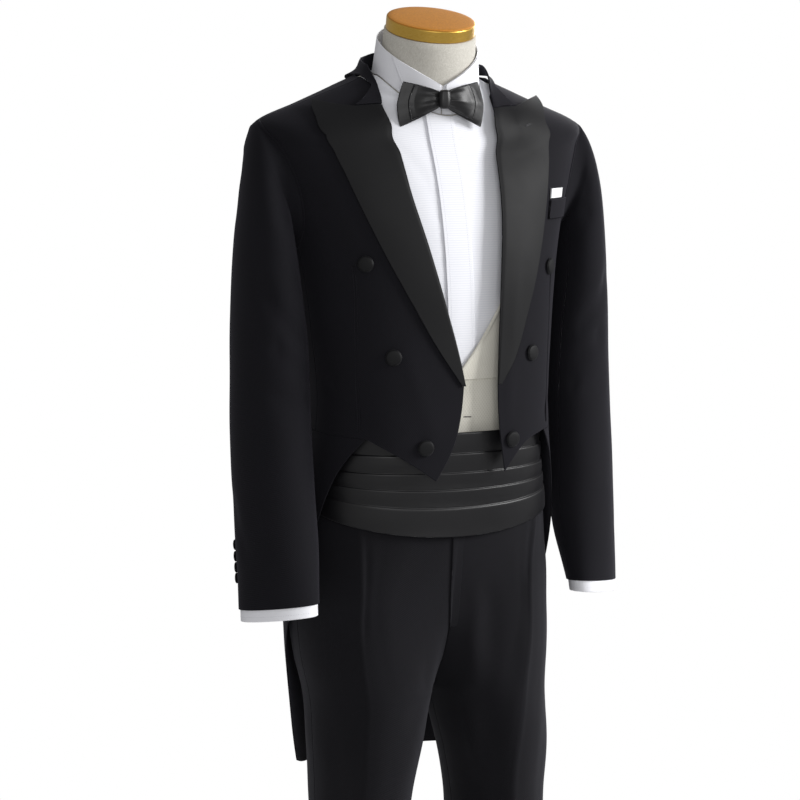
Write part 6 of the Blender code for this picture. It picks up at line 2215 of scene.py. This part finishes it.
@dataclass
class Studio:
    """The pale floor, the soft lights and the camera at the photograph's angle."""

    distance: float = 3.16
    height: float = 1.47
    bearing: float = 25.0
    lens: float = 109.35

    def camera(self) -> None:
        """Sets the camera: a little to the wearer's right, at chin height, looking slightly down."""
        data = bpy.data.cameras.new("studio_camera")
        data.lens, data.sensor_width = self.lens, 36.0
        camera = bpy.data.objects.new("studio_camera", data)
        turn = math.radians(self.bearing)
        camera.location = (-self.distance * math.sin(turn), -self.distance * math.cos(turn), self.height)
        camera.rotation_euler = (math.radians(90.0 - 6.573), 0.0, math.radians(0.448 - self.bearing))
        bpy.context.scene.collection.objects.link(camera)
        bpy.context.scene.camera = camera

    def light(self, name: str, place: tuple[float, float, float], size: float, watts: float) -> None:
        """Hangs a soft light that looks at the coat.

        Args:
            name: its name.
            place: where it hangs.
            size: its side.
            watts: its power.
        """
        data = bpy.data.lights.new(name, "AREA")
        data.shape, data.size, data.energy = "SQUARE", size, watts
        lamp = bpy.data.objects.new(name, data)
        lamp.location = place
        away = np.array(place) - np.array([0.0, 0.0, 1.15])
        lamp.rotation_euler = (
            math.atan2(math.hypot(away[0], away[1]), away[2]), 0.0, math.atan2(away[1], away[0]) + math.pi / 2,
        )
        bpy.context.scene.collection.objects.link(lamp)

    def floor(self) -> None:
        """Lays the pale floor."""
        floor = turned("studio_floor", lathe(96, ((1.5, -0.02), (1.5, -0.0005), (0.4, -0.0005))))
        paper = HardFinish("matt_paper", "", "#eeeeee", "#f4f4f4", 0.0, 0.9, 3.0)
        floor.data.materials.append(paper.material())

    def world(self) -> None:
        """Fills the room with low even light in front of a white backdrop."""
        world = bpy.data.worlds.new("studio_world")
        world.use_nodes = True
        tree = world.node_tree
        backdrop = tree.nodes["Background"]
        backdrop.inputs["Color"].default_value = (1.0, 1.0, 1.0, 1.0)
        seen = add_node(tree, "ShaderNodeLightPath", {}).outputs["Is Camera Ray"]
        limits = {"To Min": 0.34, "To Max": 1.0}
        strength = add_node(tree, "ShaderNodeMapRange", limits, {"Value": seen}).outputs[0]
        tree.links.new(strength, backdrop.inputs["Strength"])
        bpy.context.scene.world = world
        bpy.context.scene.view_settings.view_transform = "Standard"

    def build(self) -> None:
        """Sets the studio up."""
        self.camera()
        self.world()
        self.floor()
        self.light("key_softbox", (2.9, -2.0, 2.4), 1.5, 135.0)
        self.light("fill_softbox", (-1.2, -3.4, 2.0), 1.8, 26.0)
        self.light("rim_softbox", (2.0, 1.7, 2.2), 1.4, 40.0)


SIDES = (("right", -1.0), ("left", 1.0))


def main() -> None:
    """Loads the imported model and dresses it, sub-assembly by sub-assembly."""
    logging.basicConfig(level=logging.INFO, format="%(name)s: %(message)s")
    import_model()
    Studio().build()
    for assembly in (DressForm(), Shirt(), Waistcoat(), Trousers(), Cummerbund(), BowTie(), Tailcoat()):
        assembly.build()
        LOG.info("%s: %d pieces", type(assembly).__name__, len(assembly.made))


if __name__ == "__main__":
    main()
